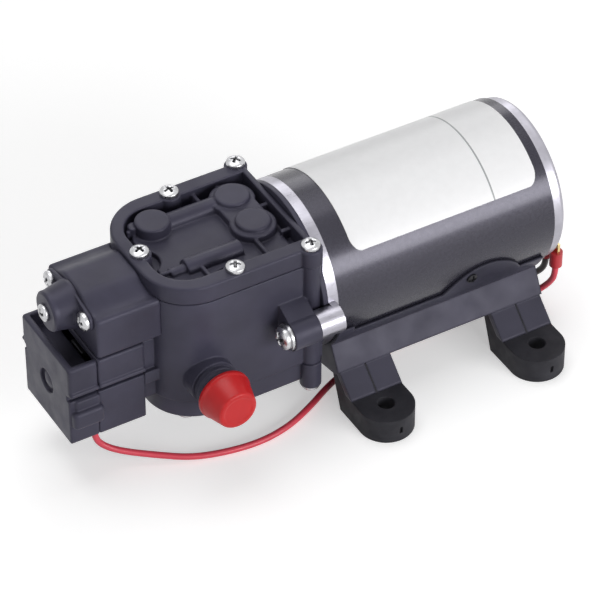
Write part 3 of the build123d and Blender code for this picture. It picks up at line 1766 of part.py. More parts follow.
def make_switch_cover():
    """End cover of the lower block, with a top pocket, an end recess, a latch and a ridge."""
    cover = prism_x(block_outline(), cover_left_x, switch_left_x)
    cover -= block(
        cover_left_x + block_wall + end_recess_depth,
        switch_left_x + overrun,
        -block_half_width + block_wall,
        block_half_width - block_wall,
        block_floor_z,
        cover_pocket_z - block_wall,
    )
    cover -= block(
        cover_left_x + cover_end_wall,
        switch_left_x + overrun,
        -cover_pocket_half_width,
        cover_pocket_half_width,
        cover_pocket_z,
        block_top_z + overrun,
    )
    cover -= rod_x(
        end_recess_radius, cover_left_x - overrun, cover_left_x + end_recess_depth, 0, end_recess_z
    )
    cover += block(
        cover_left_x,
        cover_left_x + end_recess_depth,
        -end_recess_rib / 2,
        end_recess_rib / 2,
        end_recess_z - end_recess_radius,
        end_recess_z + end_recess_radius,
    )
    latch = block(
        latch_left_x,
        switch_left_x,
        -block_half_width - latch_proud,
        -block_half_width + overrun,
        latch_bottom_z,
        latch_top_z,
    )
    latch += block(
        latch_left_x,
        latch_left_x + latch_length,
        -block_half_width - latch_proud,
        -block_half_width,
        latch_bottom_z,
        latch_top_z,
    )
    ridge = block(
        latch_left_x,
        switch_left_x,
        block_half_width - overrun,
        block_half_width + latch_proud,
        ridge_bottom_z,
        ridge_top_z,
    )
    return cover + latch + ridge - lead_hole()


def make_microswitch():
    """Snap switch, standing on the floor of the block."""
    right = micro_right_x
    bottom = block_floor_z
    half = micro_width / 2
    body = block(right - micro_depth, right, -half, half, bottom, bottom + micro_height)
    return body - rod_x(
        micro_button_radius + running_gap,
        right - micro_button_proud - plunger_travel - moving_gap,
        right + overrun,
        0,
        micro_button_z,
    )


def make_micro_button():
    """Button of the snap switch."""
    right = micro_right_x
    return rod_x(
        micro_button_radius, right - micro_button_proud, right + micro_button_proud, 0, micro_button_z
    )


def make_switch_blades():
    """Two terminal blades on the back of the snap switch."""
    left = micro_right_x - micro_depth
    blades = []
    for share in (blade_share, 1 - blade_share):
        z = block_floor_z + micro_height * share
        blades.append(
            block(
                left - blade_length, left, -blade_width / 2, blade_width / 2,
                z - blade_thickness / 2, z + blade_thickness / 2
            )
        )
    return group(blades)


def coil_place(t):
    """Point of the put-away coil after t quarter turns: in, up a layer, and out again."""
    layer = coil_turns_in_layer * 4
    turn = math.pi / 2 + math.pi * t / 2
    inward = min(t, layer + 1)
    outward = max(t - layer - 1, 0)
    radius = coil_outer_radius - coil_pitch * (inward - outward) / 4
    rise = min(max((t - layer) / 2, 0), 1)
    smooth = rise * rise * (3 - 2 * rise)
    return (
        coil_centre_x + radius * math.cos(turn),
        coil_centre_y + radius * math.sin(turn),
        coil_floor_z + coil_layer_rise * smooth,
    )


def coil_edges():
    """Edges of the whole coil, with a straight end as long as the lead is thick."""
    steps = int(coil_turns_in_layer * 8 + 2)
    edges, points, slopes = wound_edges(coil_place, steps)
    lead_in = Vector(-1, 0, 0)
    first = points[0]
    joint = first + lead_in * lead_radius * 2
    edges[:2] = biarc(joint, lead_in, points[1], slopes[1])
    edges.insert(0, Edge.make_line(first, joint))
    tail = points[-1] + slopes[-1] * lead_radius * 2
    edges.append(Edge.make_line(points[-1], tail))
    return edges, tail, slopes[-1]


def make_coil():
    """Spare length of the black lead, coiled on the ground under the motor."""
    edges, tail, heading = coil_edges()
    steps = int(coil_turns_in_layer * 8 + 2)
    gap = least_gap(coil_place, steps, 2, lead_radius * 2)
    length = sum(edge.length for edge in edges)
    coil = tube(edges, lead_radius)
    share = coil.volume / (math.pi * lead_radius ** 2 * length)
    print("coil gap", round(gap, 2), "length", round(length, 1), "volume share", round(share, 4))
    return coil


def make_coil_tie():
    """Cable tie round the coil's turns, on the side away from the incoming lead."""
    clear = lead_radius + tie_gap
    inner = coil_outer_radius - coil_pitch * (coil_turns_in_layer * 4 + 1) / 4 - clear
    outer = coil_outer_radius - coil_pitch * 3 / 4 + clear
    top = coil_floor_z + coil_layer_rise + clear
    half = tie_width / 2
    band = block(
        inner - tie_thickness, outer + tie_thickness, -half, half, lead_lift, top + tie_thickness
    )
    band -= block(inner, outer, -half - overrun, half + overrun, lead_lift + tie_thickness, top)
    band += block(outer, outer + tie_head, -half, half, top - tie_head, top + tie_thickness)
    return Pos(coil_centre_x, coil_centre_y, 0) * Rot(0, 0, tie_angle) * band


def make_stripped_end():
    """Stripped and tinned end of the black lead."""
    edges, tail, heading = coil_edges()
    section = Plane(origin=tail, z_dir=heading) * Circle(stripped_radius)
    return extrude(section, amount=stripped_length, dir=heading)


def export(name, part):
    """Write one node."""
    part.label = name
    export_step(part, os.path.join("parts", name + ".step"))


os.makedirs("parts", exist_ok=True)
base_bracket = make_base_bracket()
export("base_bracket", base_bracket)
export("foot_pump_front", make_foot(-1, -1))
export("foot_pump_back", make_foot(-1, 1))
export("foot_tail_front", make_foot(1, -1))
export("foot_tail_back", make_foot(1, 1))
export("saddle_screws", make_saddle_screws())
export("motor_can", make_motor_can())
export("motor_label", make_motor_label())
export("front_bell", make_front_bell())
export("front_bearing", make_ball_bearing(front_bearing_x, shaft_height))
export("rear_bearing", make_ball_bearing(rear_bearing_x, shaft_height))
export("tail_cap", make_tail_cap())
export("field_magnets", make_magnets())
export("brush_holder", make_brush_holder())
export("carbon_brushes", make_brushes())
export("brush_springs", make_brush_springs())
export("motor_terminals", make_terminals())
export("terminal_sleeves", make_sleeves())
export("motor_screws", make_motor_screws())
export("motor_washers", make_motor_washers())
export("motor_shaft", make_motor_shaft())
export("armature_core", make_armature_core())
export("armature_windings", make_windings())
export("commutator", make_commutator())
export("eccentric", make_eccentric())
export("grub_screw", make_grub_screw())
export("crank_bearing", make_ball_bearing(bearing_left_x, crank_z))
export("connecting_rod", make_connecting_rod())
export("piston_plate", make_piston_plate())
export("piston_screw", make_piston_screw())
export("diaphragm", make_diaphragm())
export("pump_body", make_pump_body())
export("bottom_cover", make_bottom_cover())
export("cover_screws", make_cover_screws())
export("valve_plate", make_valve_plate())
export("inlet_valve", make_check_valve(inlet_valve_y, plate_seat_z + dish_depth, -1))
export("outlet_valve", make_check_valve(outlet_valve_y, plate_seat_z + plate_thickness, 1))
export("lid_gasket", make_gasket())
export("pump_lid", make_lid())
export("lid_screws", make_lid_screws())
export("outlet_cap", make_port_cap(-1))
export("inlet_cap", make_port_cap(1))
export("switch_housing", make_switch_housing())
export("pressure_diaphragm", make_pressure_diaphragm())
export("switch_plunger", make_plunger())
export("pressure_spring", make_pressure_spring())
export("spring_seat", make_spring_seat())
export("switch_boss", make_switch_boss())
export("adjust_screw", make_adjust_screw())
export("boss_screws", make_boss_screws())
export("switch_base", make_switch_base())
export("switch_cover", make_switch_cover())
export("microswitch", make_microswitch())
export("microswitch_button", make_micro_button())
export("switch_blades", make_switch_blades())
export("red_lead", cord_tube("red lead", red_route, lead_radius))
export("black_lead", cord_tube("black lead", black_route, lead_radius))
export("black_lead_coil", make_coil())
export("black_lead_end", make_stripped_end())
export("coil_tie", make_coil_tie())
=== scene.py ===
"""Looks of a small caravan water pump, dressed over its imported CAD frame.

Lengths are metres in the frame's own axes: X along the shaft towards the motor's tail, Y towards
the back and Z up. Forms that are read as distances are in millimetres, as their classes say. Each
sub-assembly is a class that makes its meshes and dresses them, and each finish is a frozen
dataclass that builds one procedural material.
"""

import json
import logging
import math
from collections.abc import Callable
from dataclasses import dataclass
from enum import Enum
from typing import ClassVar

import bmesh
import bpy
import numpy as np
from mathutils import Matrix, Vector


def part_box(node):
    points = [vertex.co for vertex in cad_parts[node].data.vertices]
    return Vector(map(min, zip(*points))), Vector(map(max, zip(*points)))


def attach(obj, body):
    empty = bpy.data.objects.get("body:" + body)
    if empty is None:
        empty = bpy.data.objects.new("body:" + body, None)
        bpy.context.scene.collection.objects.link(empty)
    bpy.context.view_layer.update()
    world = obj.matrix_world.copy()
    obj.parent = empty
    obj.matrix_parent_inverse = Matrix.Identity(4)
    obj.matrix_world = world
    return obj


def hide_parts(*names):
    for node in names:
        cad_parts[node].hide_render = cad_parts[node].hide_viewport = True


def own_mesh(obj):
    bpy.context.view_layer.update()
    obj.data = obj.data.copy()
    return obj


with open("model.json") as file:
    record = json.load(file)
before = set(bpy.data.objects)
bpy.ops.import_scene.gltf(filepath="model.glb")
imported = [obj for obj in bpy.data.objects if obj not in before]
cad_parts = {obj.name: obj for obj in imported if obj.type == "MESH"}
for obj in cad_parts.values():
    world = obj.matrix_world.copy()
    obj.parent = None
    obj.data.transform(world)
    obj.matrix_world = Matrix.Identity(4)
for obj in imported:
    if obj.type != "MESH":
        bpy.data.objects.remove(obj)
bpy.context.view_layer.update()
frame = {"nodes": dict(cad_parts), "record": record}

log = logging.getLogger("caravan_pump")

Pair = tuple[float, float]
Triple = tuple[float, float, float]
Rows = tuple[tuple[float, ...], ...]
Box = tuple[Pair | Triple, Pair | Triple, float]
Array = np.ndarray
Socket = bpy.types.NodeSocket
Piece = bpy.types.Object

MM = 0.001
FAR = 40.0  # millimetres past every form, for cuts that run right through
GRID_SHIFT = 0.137  # share of a cell that keeps flat faces off the grid's own planes
SLOPE_STEP = 0.05  # share of a cell over which a form's slope is read
LEAST_STEEPNESS = 0.5  # least squared slope that a step onto the surface reckons with
ROUNDS = 4  # steps that each point takes onto the surface
TURN = 2.0 * math.pi
# attribute of recess depth, which places the painted shade on the zinc screws
SUNK = "sunk"
WHITE = (1.0, 1.0, 1.0, 1.0)


class Axis3(Enum):
    """Direction in which a fastener's head points."""

    UP = (0.0, 0.0, 1.0)
    DOWN = (0.0, 0.0, -1.0)
    LEFT = (-1.0, 0.0, 0.0)


# Finishes


@dataclass(frozen=True)
class Noise:
    """Smooth noise: features to the metre in all or along x, y and z, octaves, and values used."""

    scale: float | Triple
    detail: float = 3.0
    span: Pair = (0.3, 0.7)


class ShaderGraph:
    """Node tree of one shader, with short calls for what the finishes share."""

    def __init__(self, tree: bpy.types.NodeTree, shader: str = "Principled BSDF") -> None:
        """Start from the tree's own shader node."""
        self.tree = tree
        self.shader = tree.nodes[shader]

    def node(self, kind: str, inputs: dict[str | int, object], **options: object) -> bpy.types.Node:
        """Add a node.

        Args:
            kind: Type of the node.
            inputs: What each input, by name or number, is set or linked to.
            options: Settings of the node itself.

        Returns:
            The new node.
        """
        made = self.tree.nodes.new(kind)
        for name, value in options.items():
            setattr(made, name, value)
        self.feed(made, inputs)
        return made

    def feed(self, node: bpy.types.Node, inputs: dict[str | int, object]) -> None:
        """Set or link a node's inputs.

        Args:
            node: The node.
            inputs: A value, or the socket that gives it, by the input's name or number.
        """
        for name, value in inputs.items():
            if isinstance(value, Socket):
                self.tree.links.new(value, node.inputs[name])
            else:
                node.inputs[name].default_value = value

    def coords(self) -> Socket:
        """Object coordinates."""
        return self.node("ShaderNodeTexCoord", {}).outputs["Object"]

    def noise(self, noise: Noise) -> Socket:
        """Noise over Object coordinates, stretched by a Mapping node where its scale is a triple.

        Args:
            noise: Its scale and detail.

        Returns:
            The value's socket.
        """
        vector, scale = self.coords(), noise.scale
        if isinstance(scale, tuple):
            stretch = self.node("ShaderNodeMapping", {"Vector": vector, "Scale": scale})
            vector, scale = stretch.outputs["Vector"], 1.0
        inputs = {"Vector": vector, "Scale": scale, "Detail": noise.detail}
        return self.node("ShaderNodeTexNoise", inputs).outputs["Fac"]

    def remap(self, source: Socket, inside: Pair, out: Pair = (0.0, 1.0)) -> Socket:
        """Map values from the range inside to the range out, clamped."""
        names = ("Value", "From Min", "From Max", "To Min", "To Max")
        return self.node("ShaderNodeMapRange", dict(zip(names, (source, *inside, *out)))).outputs[0]

    def patches(self, noise: Noise, out: Pair = (0.0, 1.0)) -> Socket:
        """Noise mapped from its own span to the range out."""
        return self.remap(self.noise(noise), noise.span, out)

    def maths(self, operation: str, *values: Socket | float) -> Socket:
        """Result of a Math node."""
        return self.node("ShaderNodeMath", dict(enumerate(values)), operation=operation).outputs[0]

    def blend(self, factor: Socket, low: Triple, high: Triple | Socket) -> Socket:
        """Colour that runs from low, where factor is 0, to high, a colour or its socket, at 1."""
        ends = {0: factor, 6: (*low, 1.0), 7: (*high, 1.0) if isinstance(high, tuple) else high}
        return self.node("ShaderNodeMix", ends, data_type="RGBA").outputs[2]

    def relief(self, height: Socket, depth: float, edge_radius: float) -> None:
        """Give the shader a bump, over edges that are rounded for the light.

        Args:
            height: Pattern from 0 to 1.
            depth: Height of the pattern's relief in metres.
            edge_radius: Radius at which sharp edges catch the light, or 0.
        """
        inputs = {"Strength": 1.0, "Distance": depth, "Height": height}
        if edge_radius > 0.0:
            soft = self.node("ShaderNodeBevel", {"Radius": edge_radius}, samples=6)
            inputs["Normal"] = soft.outputs["Normal"]
        bump = self.node("ShaderNodeBump", inputs)
        self.feed(self.shader, {"Normal": bump.outputs["Normal"]})

    def seen(self, unseen: float, seen: float) -> Socket:
        """Brightness that differs between what looks at a surface and what it lights.

        Args:
            unseen: Value for the light that falls on the pump.
            seen: Value for the camera, for reflections and through clear pieces.

        Returns:
            The value's socket.
        """
        rays = self.node("ShaderNodeLightPath", {}).outputs
        mirrored = self.maths("MAXIMUM", rays["Is Camera Ray"], rays["Is Glossy Ray"])
        every = self.maths("MAXIMUM", mirrored, rays["Is Transmission Ray"])
        return self.remap(every, (0.0, 1.0), (unseen, seen))


@dataclass(frozen=True)
class Surface:
    """How a kind of surface varies, each thing with a noise of its own.

    A second colour lies in patches. The roughness runs between a finish's own plus each value of
    uneven. The relief is depth metres high, over edges that catch the light at edge_radius.
    """

    patches: Noise
    smear: Noise
    uneven: Pair
    grain: Noise
    depth: float
    edge_radius: float = 0.0


@dataclass(frozen=True)
class Finish:
    """Base of the finishes. Where a second colour is left out, it is colour times gain plus lift.

    The sockets are the shader's other settings.
    """

    name: str
    colour: Triple
    roughness: float
    surface: Surface
    second: Triple | None = None
    gain: float = 1.0
    lift: float = 0.0
    sockets: ClassVar[dict[str, object]] = {}

    def pattern(self, graph: ShaderGraph) -> Socket:
        """Colour with patches of the second one."""
        second = self.second or tuple(value * self.gain + self.lift for value in self.colour)
        return graph.blend(graph.patches(self.surface.patches), self.colour, second)

    def build(self) -> bpy.types.Material:
        """Build the material.

        Returns:
            The new material.
        """
        material = bpy.data.materials.new(self.name)
        material.use_nodes = True
        graph = ShaderGraph(material.node_tree)
        surface = self.surface
        low, high = surface.uneven
        sheen = graph.patches(surface.smear, (self.roughness + low, self.roughness + high))
        inputs = {"Base Color": self.pattern(graph), "Roughness": sheen}
        graph.feed(graph.shader, inputs | self.sockets)
        graph.relief(graph.noise(surface.grain), surface.depth, surface.edge_radius)
        return material


@dataclass(frozen=True)
class MouldedPlastic(Finish):
    """Fine satin moulding with a spark-eroded grain, faint flow marks and rubbed high spots."""

    roughness: float = 0.42
    gain: float = 1.5
    surface: Surface = Surface(
        Noise(60.0, 4.0, (0.35, 0.68)), Noise(190.0, 5.0), (-0.07, 0.09),
        Noise(2600.0, 2.0), 0.012 * MM, 0.8 * MM,
    )
    sockets = {"Specular IOR Level": 0.3, "Specular Tint": (0.86, 0.84, 1.0, 1.0)}


@dataclass(frozen=True)
class SoftRubber(Finish):
    """Matt black rubber with a coarse bloom that lightens it in patches."""

    colour: Triple = (0.014, 0.0135, 0.018)
    roughness: float = 0.55
    surface: Surface = Surface(
        Noise(140.0, 6.0, (0.42, 0.72)), Noise(300.0), (0.0, 0.17),
        Noise(1800.0), 0.02 * MM, 0.5 * MM,
    )
    second: Triple = (0.027, 0.0265, 0.033)
    sockets = {"Specular IOR Level": 0.25}


@dataclass(frozen=True)
class GlossPaint(Finish):
    """Stoved gloss paint on sheet steel, with a little orange peel."""

    roughness: float = 0.24
    gain: float = 1.35
    surface: Surface = Surface(
        Noise(40.0, 2.0), Noise(900.0, 4.0, (0.3, 0.75)), (0.0, 0.08),
        Noise(520.0, 1.5), 0.006 * MM, 0.25 * MM,
    )
    sockets = {
        "Coat Weight": 0.22, "Coat Roughness": 0.14, "Specular Tint": (0.85, 0.82, 1.0, 1.0),
    }


def tooled(along: float, across: float, depth: float) -> Surface:
    """Metal with that many tool marks to the metre along x and across it, and so many deep."""
    marks = Noise((along, across, across), 3.0, (0.25, 0.75))
    return Surface(Noise(220.0, 4.0, (0.35, 0.7)), marks, (-0.06, 0.1), marks, depth, 0.15 * MM)


@dataclass(frozen=True)
class BareMetal(Finish):
    """Metal with fine tool marks along one direction and a slightly uneven sheen."""

    roughness: float = 0.28
    gain: float = 0.8
    surface: Surface = tooled(900.0, 900.0, 0.003 * MM)
    sockets = {"Metallic": 1.0}


@dataclass(frozen=True)
class ZincPlate(Finish):
    """Bright zinc plate with a cloudy passivated sheen, and painted shade that darkens it in the
    recesses.
    """

    colour: Triple = (0.6, 0.6, 0.62)
    roughness: float = 0.24
    surface: Surface = Surface(
        Noise(700.0, 3.0, (0.35, 0.7)), Noise(1500.0, 2.0), (0.0, 0.1), Noise(1200.0, 2.0), 0.002 * MM
    )
    second: Triple = (0.46, 0.46, 0.47)
    # colour of the painted shade at the bottom of the recesses, and the recess depths over which it
    # comes in
    painted_recess_shade: Triple = (0.1, 0.1, 0.105)
    painted_shade_span: Pair = (0.1, 0.75)
    sockets = {"Metallic": 1.0}

    def pattern(self, graph: ShaderGraph) -> Socket:
        """Cloudy plate that goes over to the painted shade colour in the recesses.

        Args:
            graph: The material's nodes.

        Returns:
            The colour's socket.
        """
        sunk = graph.node("ShaderNodeAttribute", {}, attribute_name=SUNK)
        raised = graph.remap(sunk.outputs["Fac"], self.painted_shade_span, (1.0, 0.0))
        # painted shade: the deeper a point lies in a recess, the nearer its colour is to the shade
        # colour
        return graph.blend(raised, self.painted_recess_shade, super().pattern(graph))


@dataclass(frozen=True)
class LabelFilm(Finish):
    """Blank satin label film with one thin grey rule round the can and slight print mottle."""

    name: str = "label_film_white"
    colour: Triple = (0.88, 0.88, 0.89)
    roughness: float = 0.3
    gain: float = 0.965
    surface: Surface = Surface(
        Noise(420.0, 5.0, (0.3, 0.75)), Noise(260.0), (0.0, 0.1), Noise(1500.0, 2.0), 0.003 * MM
    )
    grey: Triple = (0.33, 0.34, 0.35)
    rule_x: float = 18.5 * MM
    rule_half_width: float = 0.22 * MM
    rule_edge: float = 1.3

    def pattern(self, graph: ShaderGraph) -> Socket:
        """Mottled film with the grey rule where abs(x - rule_x) < rule_half_width.

        Args:
            graph: The material's nodes.

        Returns:
            The colour's socket.
        """
        x = graph.node("ShaderNodeSeparateXYZ", {"Vector": graph.coords()}).outputs["X"]
        apart = graph.maths("ABSOLUTE", graph.maths("SUBTRACT", x, self.rule_x))
        half = self.rule_half_width
        rule = graph.remap(apart, (half * self.rule_edge, half))
        beside = graph.maths("MULTIPLY_ADD", rule, -1.0, 1.0)
        return graph.blend(beside, self.grey, super().pattern(graph))


@dataclass(frozen=True)
class WaxyPlastic(Finish):
    """Soft, slightly translucent low-density plastic of the port caps."""

    roughness: float = 0.3
    surface: Surface = Surface(
        Noise(130.0, 4.0, (0.35, 0.7)), Noise(500.0), (0.0, 0.12), Noise(700.0), 0.015 * MM, 0.4 * MM
    )
    second: Triple = (0.46, 0.007, 0.009)
    sockets = {
        "Subsurface Weight": 0.2, "Subsurface Scale": 1.5 * MM,
        "Subsurface Radius": (1.0, 0.25, 0.2), "Specular IOR Level": 0.35,
    }


@dataclass(frozen=True)
class LeadVinyl(Finish):
    """Soft vinyl of a lead, a little dusty in patches."""

    roughness: float = 0.36
    gain: float = 1.18
    surface: Surface = Surface(
        Noise(90.0, 3.0, (0.35, 0.7)), Noise(700.0), (-0.05, 0.08), Noise(1300.0, 2.0), 0.006 * MM
    )
    lift: float = 0.004


FINISHES = {
    "housing_plastic": MouldedPlastic("housing_plastic_dark", (0.034, 0.0325, 0.05)),
    "lid_plastic": MouldedPlastic("lid_plastic_dark", (0.029, 0.0275, 0.043)),
    "switch_plastic": MouldedPlastic("switch_plastic_dark", (0.031, 0.0295, 0.046), 0.44),
    "saddle_plastic": MouldedPlastic("saddle_plastic_black", (0.026, 0.025, 0.037)),
    "foot_rubber": SoftRubber("foot_rubber_black"),
    "can_paint": GlossPaint("can_paint_black", (0.016, 0.0152, 0.022)),
    "label_film": LabelFilm(),
    "bell_alloy": BareMetal(
        "bell_alloy_turned", (0.41, 0.4, 0.45), 0.3, surface=tooled(300.0, 2200.0, 0.004 * MM)
    ),
    "tail_steel": BareMetal(
        "tail_steel_plated", (0.45, 0.44, 0.49), 0.34, surface=tooled(1200.0, 1200.0, 0.003 * MM)
    ),
    "bearing_steel": BareMetal("bearing_steel_ground", (0.72, 0.72, 0.73), 0.15),
    "magnet_ferrite": MouldedPlastic("magnet_ferrite_grey", (0.06, 0.06, 0.065), 0.55),
    "holder_board": MouldedPlastic("holder_board_brown", (0.16, 0.075, 0.035), 0.5),
    "brush_carbon": MouldedPlastic("brush_carbon_grey", (0.03, 0.03, 0.03), 0.6),
    "spring_steel": BareMetal("spring_steel_drawn", (0.66, 0.66, 0.67), 0.22),
    "terminal_brass": BareMetal("terminal_brass_plain", (0.83, 0.62, 0.3), 0.24),
    "sleeving": LeadVinyl("sleeving_red", (0.42, 0.022, 0.03), 0.42),
    "tie_nylon": MouldedPlastic("tie_nylon_black", (0.02, 0.02, 0.021), 0.38),
    "screw_zinc": ZincPlate("screw_zinc_bright"),
    "screw_black": BareMetal("screw_black_oxide", (0.035, 0.035, 0.038), 0.4),
    "shaft_steel": BareMetal("shaft_steel_ground", (0.7, 0.7, 0.71), 0.18),
    "core_lamination": BareMetal(
        "core_lamination_stack", (0.36, 0.36, 0.37), 0.35, surface=tooled(6000.0, 200.0, 0.02 * MM)
    ),
    "winding_copper": BareMetal(
        "winding_copper_enamel", (0.72, 0.27, 0.1), 0.3, surface=tooled(800.0, 2500.0, 0.05 * MM)
    ),
    "commutator_copper": BareMetal("commutator_copper_bars", (0.83, 0.45, 0.28), 0.22),
    "crank_steel": BareMetal("crank_steel_machined", (0.58, 0.58, 0.6), 0.3),
    "rod_plastic": MouldedPlastic("rod_plastic_white", (0.68, 0.67, 0.63), 0.4),
    "diaphragm_rubber": SoftRubber("diaphragm_rubber_black"),
    "valve_rubber": SoftRubber("valve_rubber_brown", (0.06, 0.02, 0.015), second=(0.09, 0.035, 0.025)),
    "plate_plastic": MouldedPlastic("plate_plastic_grey", (0.09, 0.09, 0.1)),
    "cap_red": WaxyPlastic("cap_plastic_red", (0.54, 0.01, 0.012)),
    "plunger_plastic": MouldedPlastic("plunger_plastic_white", (0.62, 0.62, 0.58), 0.4),
    "micro_plastic": MouldedPlastic("micro_plastic_black", (0.03, 0.03, 0.033), 0.3),
    "button_plastic": MouldedPlastic("button_plastic_red", (0.42, 0.03, 0.025), 0.32),
    "red_insulation": LeadVinyl("lead_vinyl_red", (0.6, 0.045, 0.075)),
    "black_insulation": LeadVinyl("lead_vinyl_black", (0.014, 0.014, 0.015)),
    "tinned_wire": BareMetal("tinned_strands", (0.8, 0.8, 0.79), 0.24),
}


class Paintbox:
    """Holds every finish's material by the record's slot name."""

    def __init__(self) -> None:
        """Build each finish once."""
        self.materials = {slot: finish.build() for slot, finish in FINISHES.items()}

    def dress_frame(self) -> None:
        """Give every CAD node the finish of its slot."""
        for entry in frame["record"]["subparts"]:
            for holder in frame["nodes"][entry["node"]].material_slots:
                holder.material = self.materials[entry["material_slot"]]


# Shapes


def linked(name: str, data: bpy.types.ID) -> Piece:
    """Make an object of that data at the origin and link it to the scene.

    Args:
        name: Name of the object.
        data: Its mesh, curve, camera or lamp.

    Returns:
        The new object.
    """
    made = bpy.data.objects.new(name, data)
    bpy.context.scene.collection.objects.link(made)
    return made


def opened(mesh: bpy.types.Mesh, merge: float) -> bmesh.types.BMesh:
    """Open a mesh for editing.

    Args:
        mesh: The mesh.
        merge: Points nearer than this, in metres, become one.

    Returns:
        The editable form.
    """
    form = bmesh.new()
    form.from_mesh(mesh)
    bmesh.ops.remove_doubles(form, verts=form.verts, dist=merge)
    return form


def kept(form: bmesh.types.BMesh, mesh: bpy.types.Mesh) -> None:
    """Write an edited form into a mesh, and free it."""
    form.to_mesh(mesh)
    form.free()


def mesh_object(
    name: str, points: Array, faces: Array, smooth: bool = True, shares: Array | None = None
) -> Piece:
    """Make an object at the origin from points and faces, with its doubles merged.

    Args:
        name: Name of the object and its mesh.
        points: Array of points in metres, x, y and z in the last axis.
        faces: Rows of point numbers.
        smooth: Whether faces are shaded smooth.
        shares: How deep in a recess each point lies, from 0 to 1, kept as the attribute sunk that
            places the zinc finish's painted shade.

    Returns:
        The new object.
    """
    mesh = bpy.data.meshes.new(name)
    mesh.from_pydata(points.reshape(-1, 3).tolist(), [], faces.tolist())
    if shares is not None:
        mesh.attributes.new(SUNK, "FLOAT", "POINT").data.foreach_set("value", shares)
    mesh.validate()
    form = opened(mesh, 0.0001 * MM)
    bmesh.ops.recalc_face_normals(form, faces=form.faces)
    kept(form, mesh)
    mesh.polygons.foreach_set("use_smooth", [smooth] * len(mesh.polygons))
    return linked(name, mesh)


def join(name: str, parts: list[Piece]) -> Piece:
    """Join several mesh objects at the origin into one.

    Args:
        name: Name of the new object.
        parts: The objects, which go.

    Returns:
        The new object.
    """
    merged = bmesh.new()
    for part in parts:
        merged.from_mesh(part.data)
        bpy.data.objects.remove(part)
    mesh = bpy.data.meshes.new(name)
    kept(merged, mesh)
    return linked(name, mesh)


def sharpen(piece: Piece, angle: float = 32.0) -> None:
    """Mark the edges that turn by more than an angle as sharp.

    Args:
        piece: The object.
        angle: The angle in degrees.
    """
    form = bmesh.new()
    form.from_mesh(piece.data)
    limit = math.radians(angle)
    for edge in form.edges:
        edge.smooth = len(edge.link_faces) == 2 and edge.calc_face_angle(0.0) < limit
    kept(form, piece.data)


def ring_faces(rows: int, columns: int) -> Array:
    """Faces between the rows of a grid of points, closed round its columns.

    Args:
        rows: Rows of points.
        columns: Points in each row.

    Returns:
        Four point numbers to a face.
    """
    index = np.arange(rows * columns).reshape(rows, columns)
    following = np.roll(index, -1, axis=1)
    faces = np.stack([index[:-1], following[:-1], following[1:], index[1:]], axis=-1)
    return faces.reshape(-1, 4)


def tube(
    name: str, centres: Array, radii: Array, sides: tuple[Array, Array], steps: int
) -> Piece:
    """Closed surface of rings: the point at row n and angle a is c + r (cos a i + sin a j).

    Args:
        name: Name of the object.
        centres: Centre c of each row's ring.
        radii: Radius r of each row, 0 at the poles.
        sides: The unit vectors i and j that every ring lies along.
        steps: Points round a ring.

    Returns:
        The new object.
    """
    angles = np.arange(steps)[:, None] * (TURN / steps)
    ring = np.cos(angles) * sides[0] + np.sin(angles) * sides[1]
    points = centres[:, None] + radii[:, None, None] * ring
    return mesh_object(name, points, ring_faces(len(radii), steps))


def rounded_profile(corners: Array, steps: int = 5) -> Array:
    """Round the corners of an open profile.

    At a corner c with unit legs u and v along its sides, the round runs on the quadratic curve
    (1-t)^2 (c + r u) + 2 t (1-t) c + t^2 (c + r v).

    Args:
        corners: Rows of radius, height and cut r, where 0 leaves a corner sharp, as both ends are.
        steps: Points on each round.

    Returns:
        Rows of radius and height.
    """
    t = np.linspace(0.0, 1.0, steps)[:, None]
    out = []
    for number, (*spot, cut) in enumerate(corners):
        if cut <= 0.0:
            out.append([spot])
            continue
        legs = corners[[number - 1, number + 1], :2] - spot
        start, end = spot + legs / np.linalg.norm(legs, axis=1)[:, None] * cut
        out.append((1 - t) ** 2 * start + 2 * t * (1 - t) * np.array(spot) + t**2 * end)
    return np.concatenate(out)


def rounded(q: Array, radius: float) -> Array:
    """Distance |max(q, 0)| + min(max(q), 0) - r to a rounded corner of faces q - r away."""
    outside = np.linalg.norm(np.maximum(q, 0.0), axis=-1)
    return outside + np.minimum(q.max(axis=-1), 0.0) - radius


def block(p: Array, low: Pair | Triple, high: Pair | Triple, radius: float) -> Array:
    """Distance to a box, or a rectangle in plan, with rounded edges: q = |p - middle| - half + r."""
    half = (np.array(high) - np.array(low)) / 2.0 - radius
    return rounded(np.abs(p[..., : len(low)] - (np.array(low) + high) / 2.0) - half, radius)


def disc(p: Array, x: float, y: float, radius: float) -> Array:
    """Distance in plan to a disc."""
    return np.hypot(p[..., 0] - x, p[..., 1] - y) - radius


def raised(p: Array, plan: Array, bottom: float, top: float, radius: float) -> Array:
    """Distance to an upright form with rounded edges, from bottom to top over its plan."""
    upright = np.abs(p[..., 2] - (bottom + top) / 2.0) - (top - bottom) / 2.0
    return rounded(np.stack([upright, plan], axis=-1) + radius, radius)


def lying(p: Array, start: float, stop: float, y: float, z: float, radius: float) -> Array:
    """Distance to a round bar along x with softened ends.

    Args:
        p: Points.
        start: Where the bar starts along x.
        stop: Where it stops.
        y: Place of its axis.
        z: Height of its axis.
        radius: Radius of the bar.

    Returns:
        Signed distances.
    """
    soft = 0.3
    across = np.hypot(p[..., 1] - y, p[..., 2] - z) - radius
    along = np.abs(p[..., 0] - (start + stop) / 2.0) - (stop - start) / 2.0
    return rounded(np.stack([across, along], axis=-1) + soft, soft)


def softened(first: Array, second: Array, width: float) -> Array:
    """What two forms share, with a rounded corner: max(a, b) + max(k - |a - b|, 0)^2 / 4k."""
    near = np.maximum(width - np.abs(first - second), 0.0)
    return np.maximum(first, second) + near * near / (4.0 * width)


def together(*forms: Array) -> Array:
    """Distance to forms taken as one: the least of theirs."""
    return np.minimum.reduce(forms)


def without(form: Array, *cuts: Array) -> Array:
    """Distance to what is left of a form when others are cut from it: max(a, -b)."""
    return np.maximum.reduce([form, *(-cut for cut in cuts)])


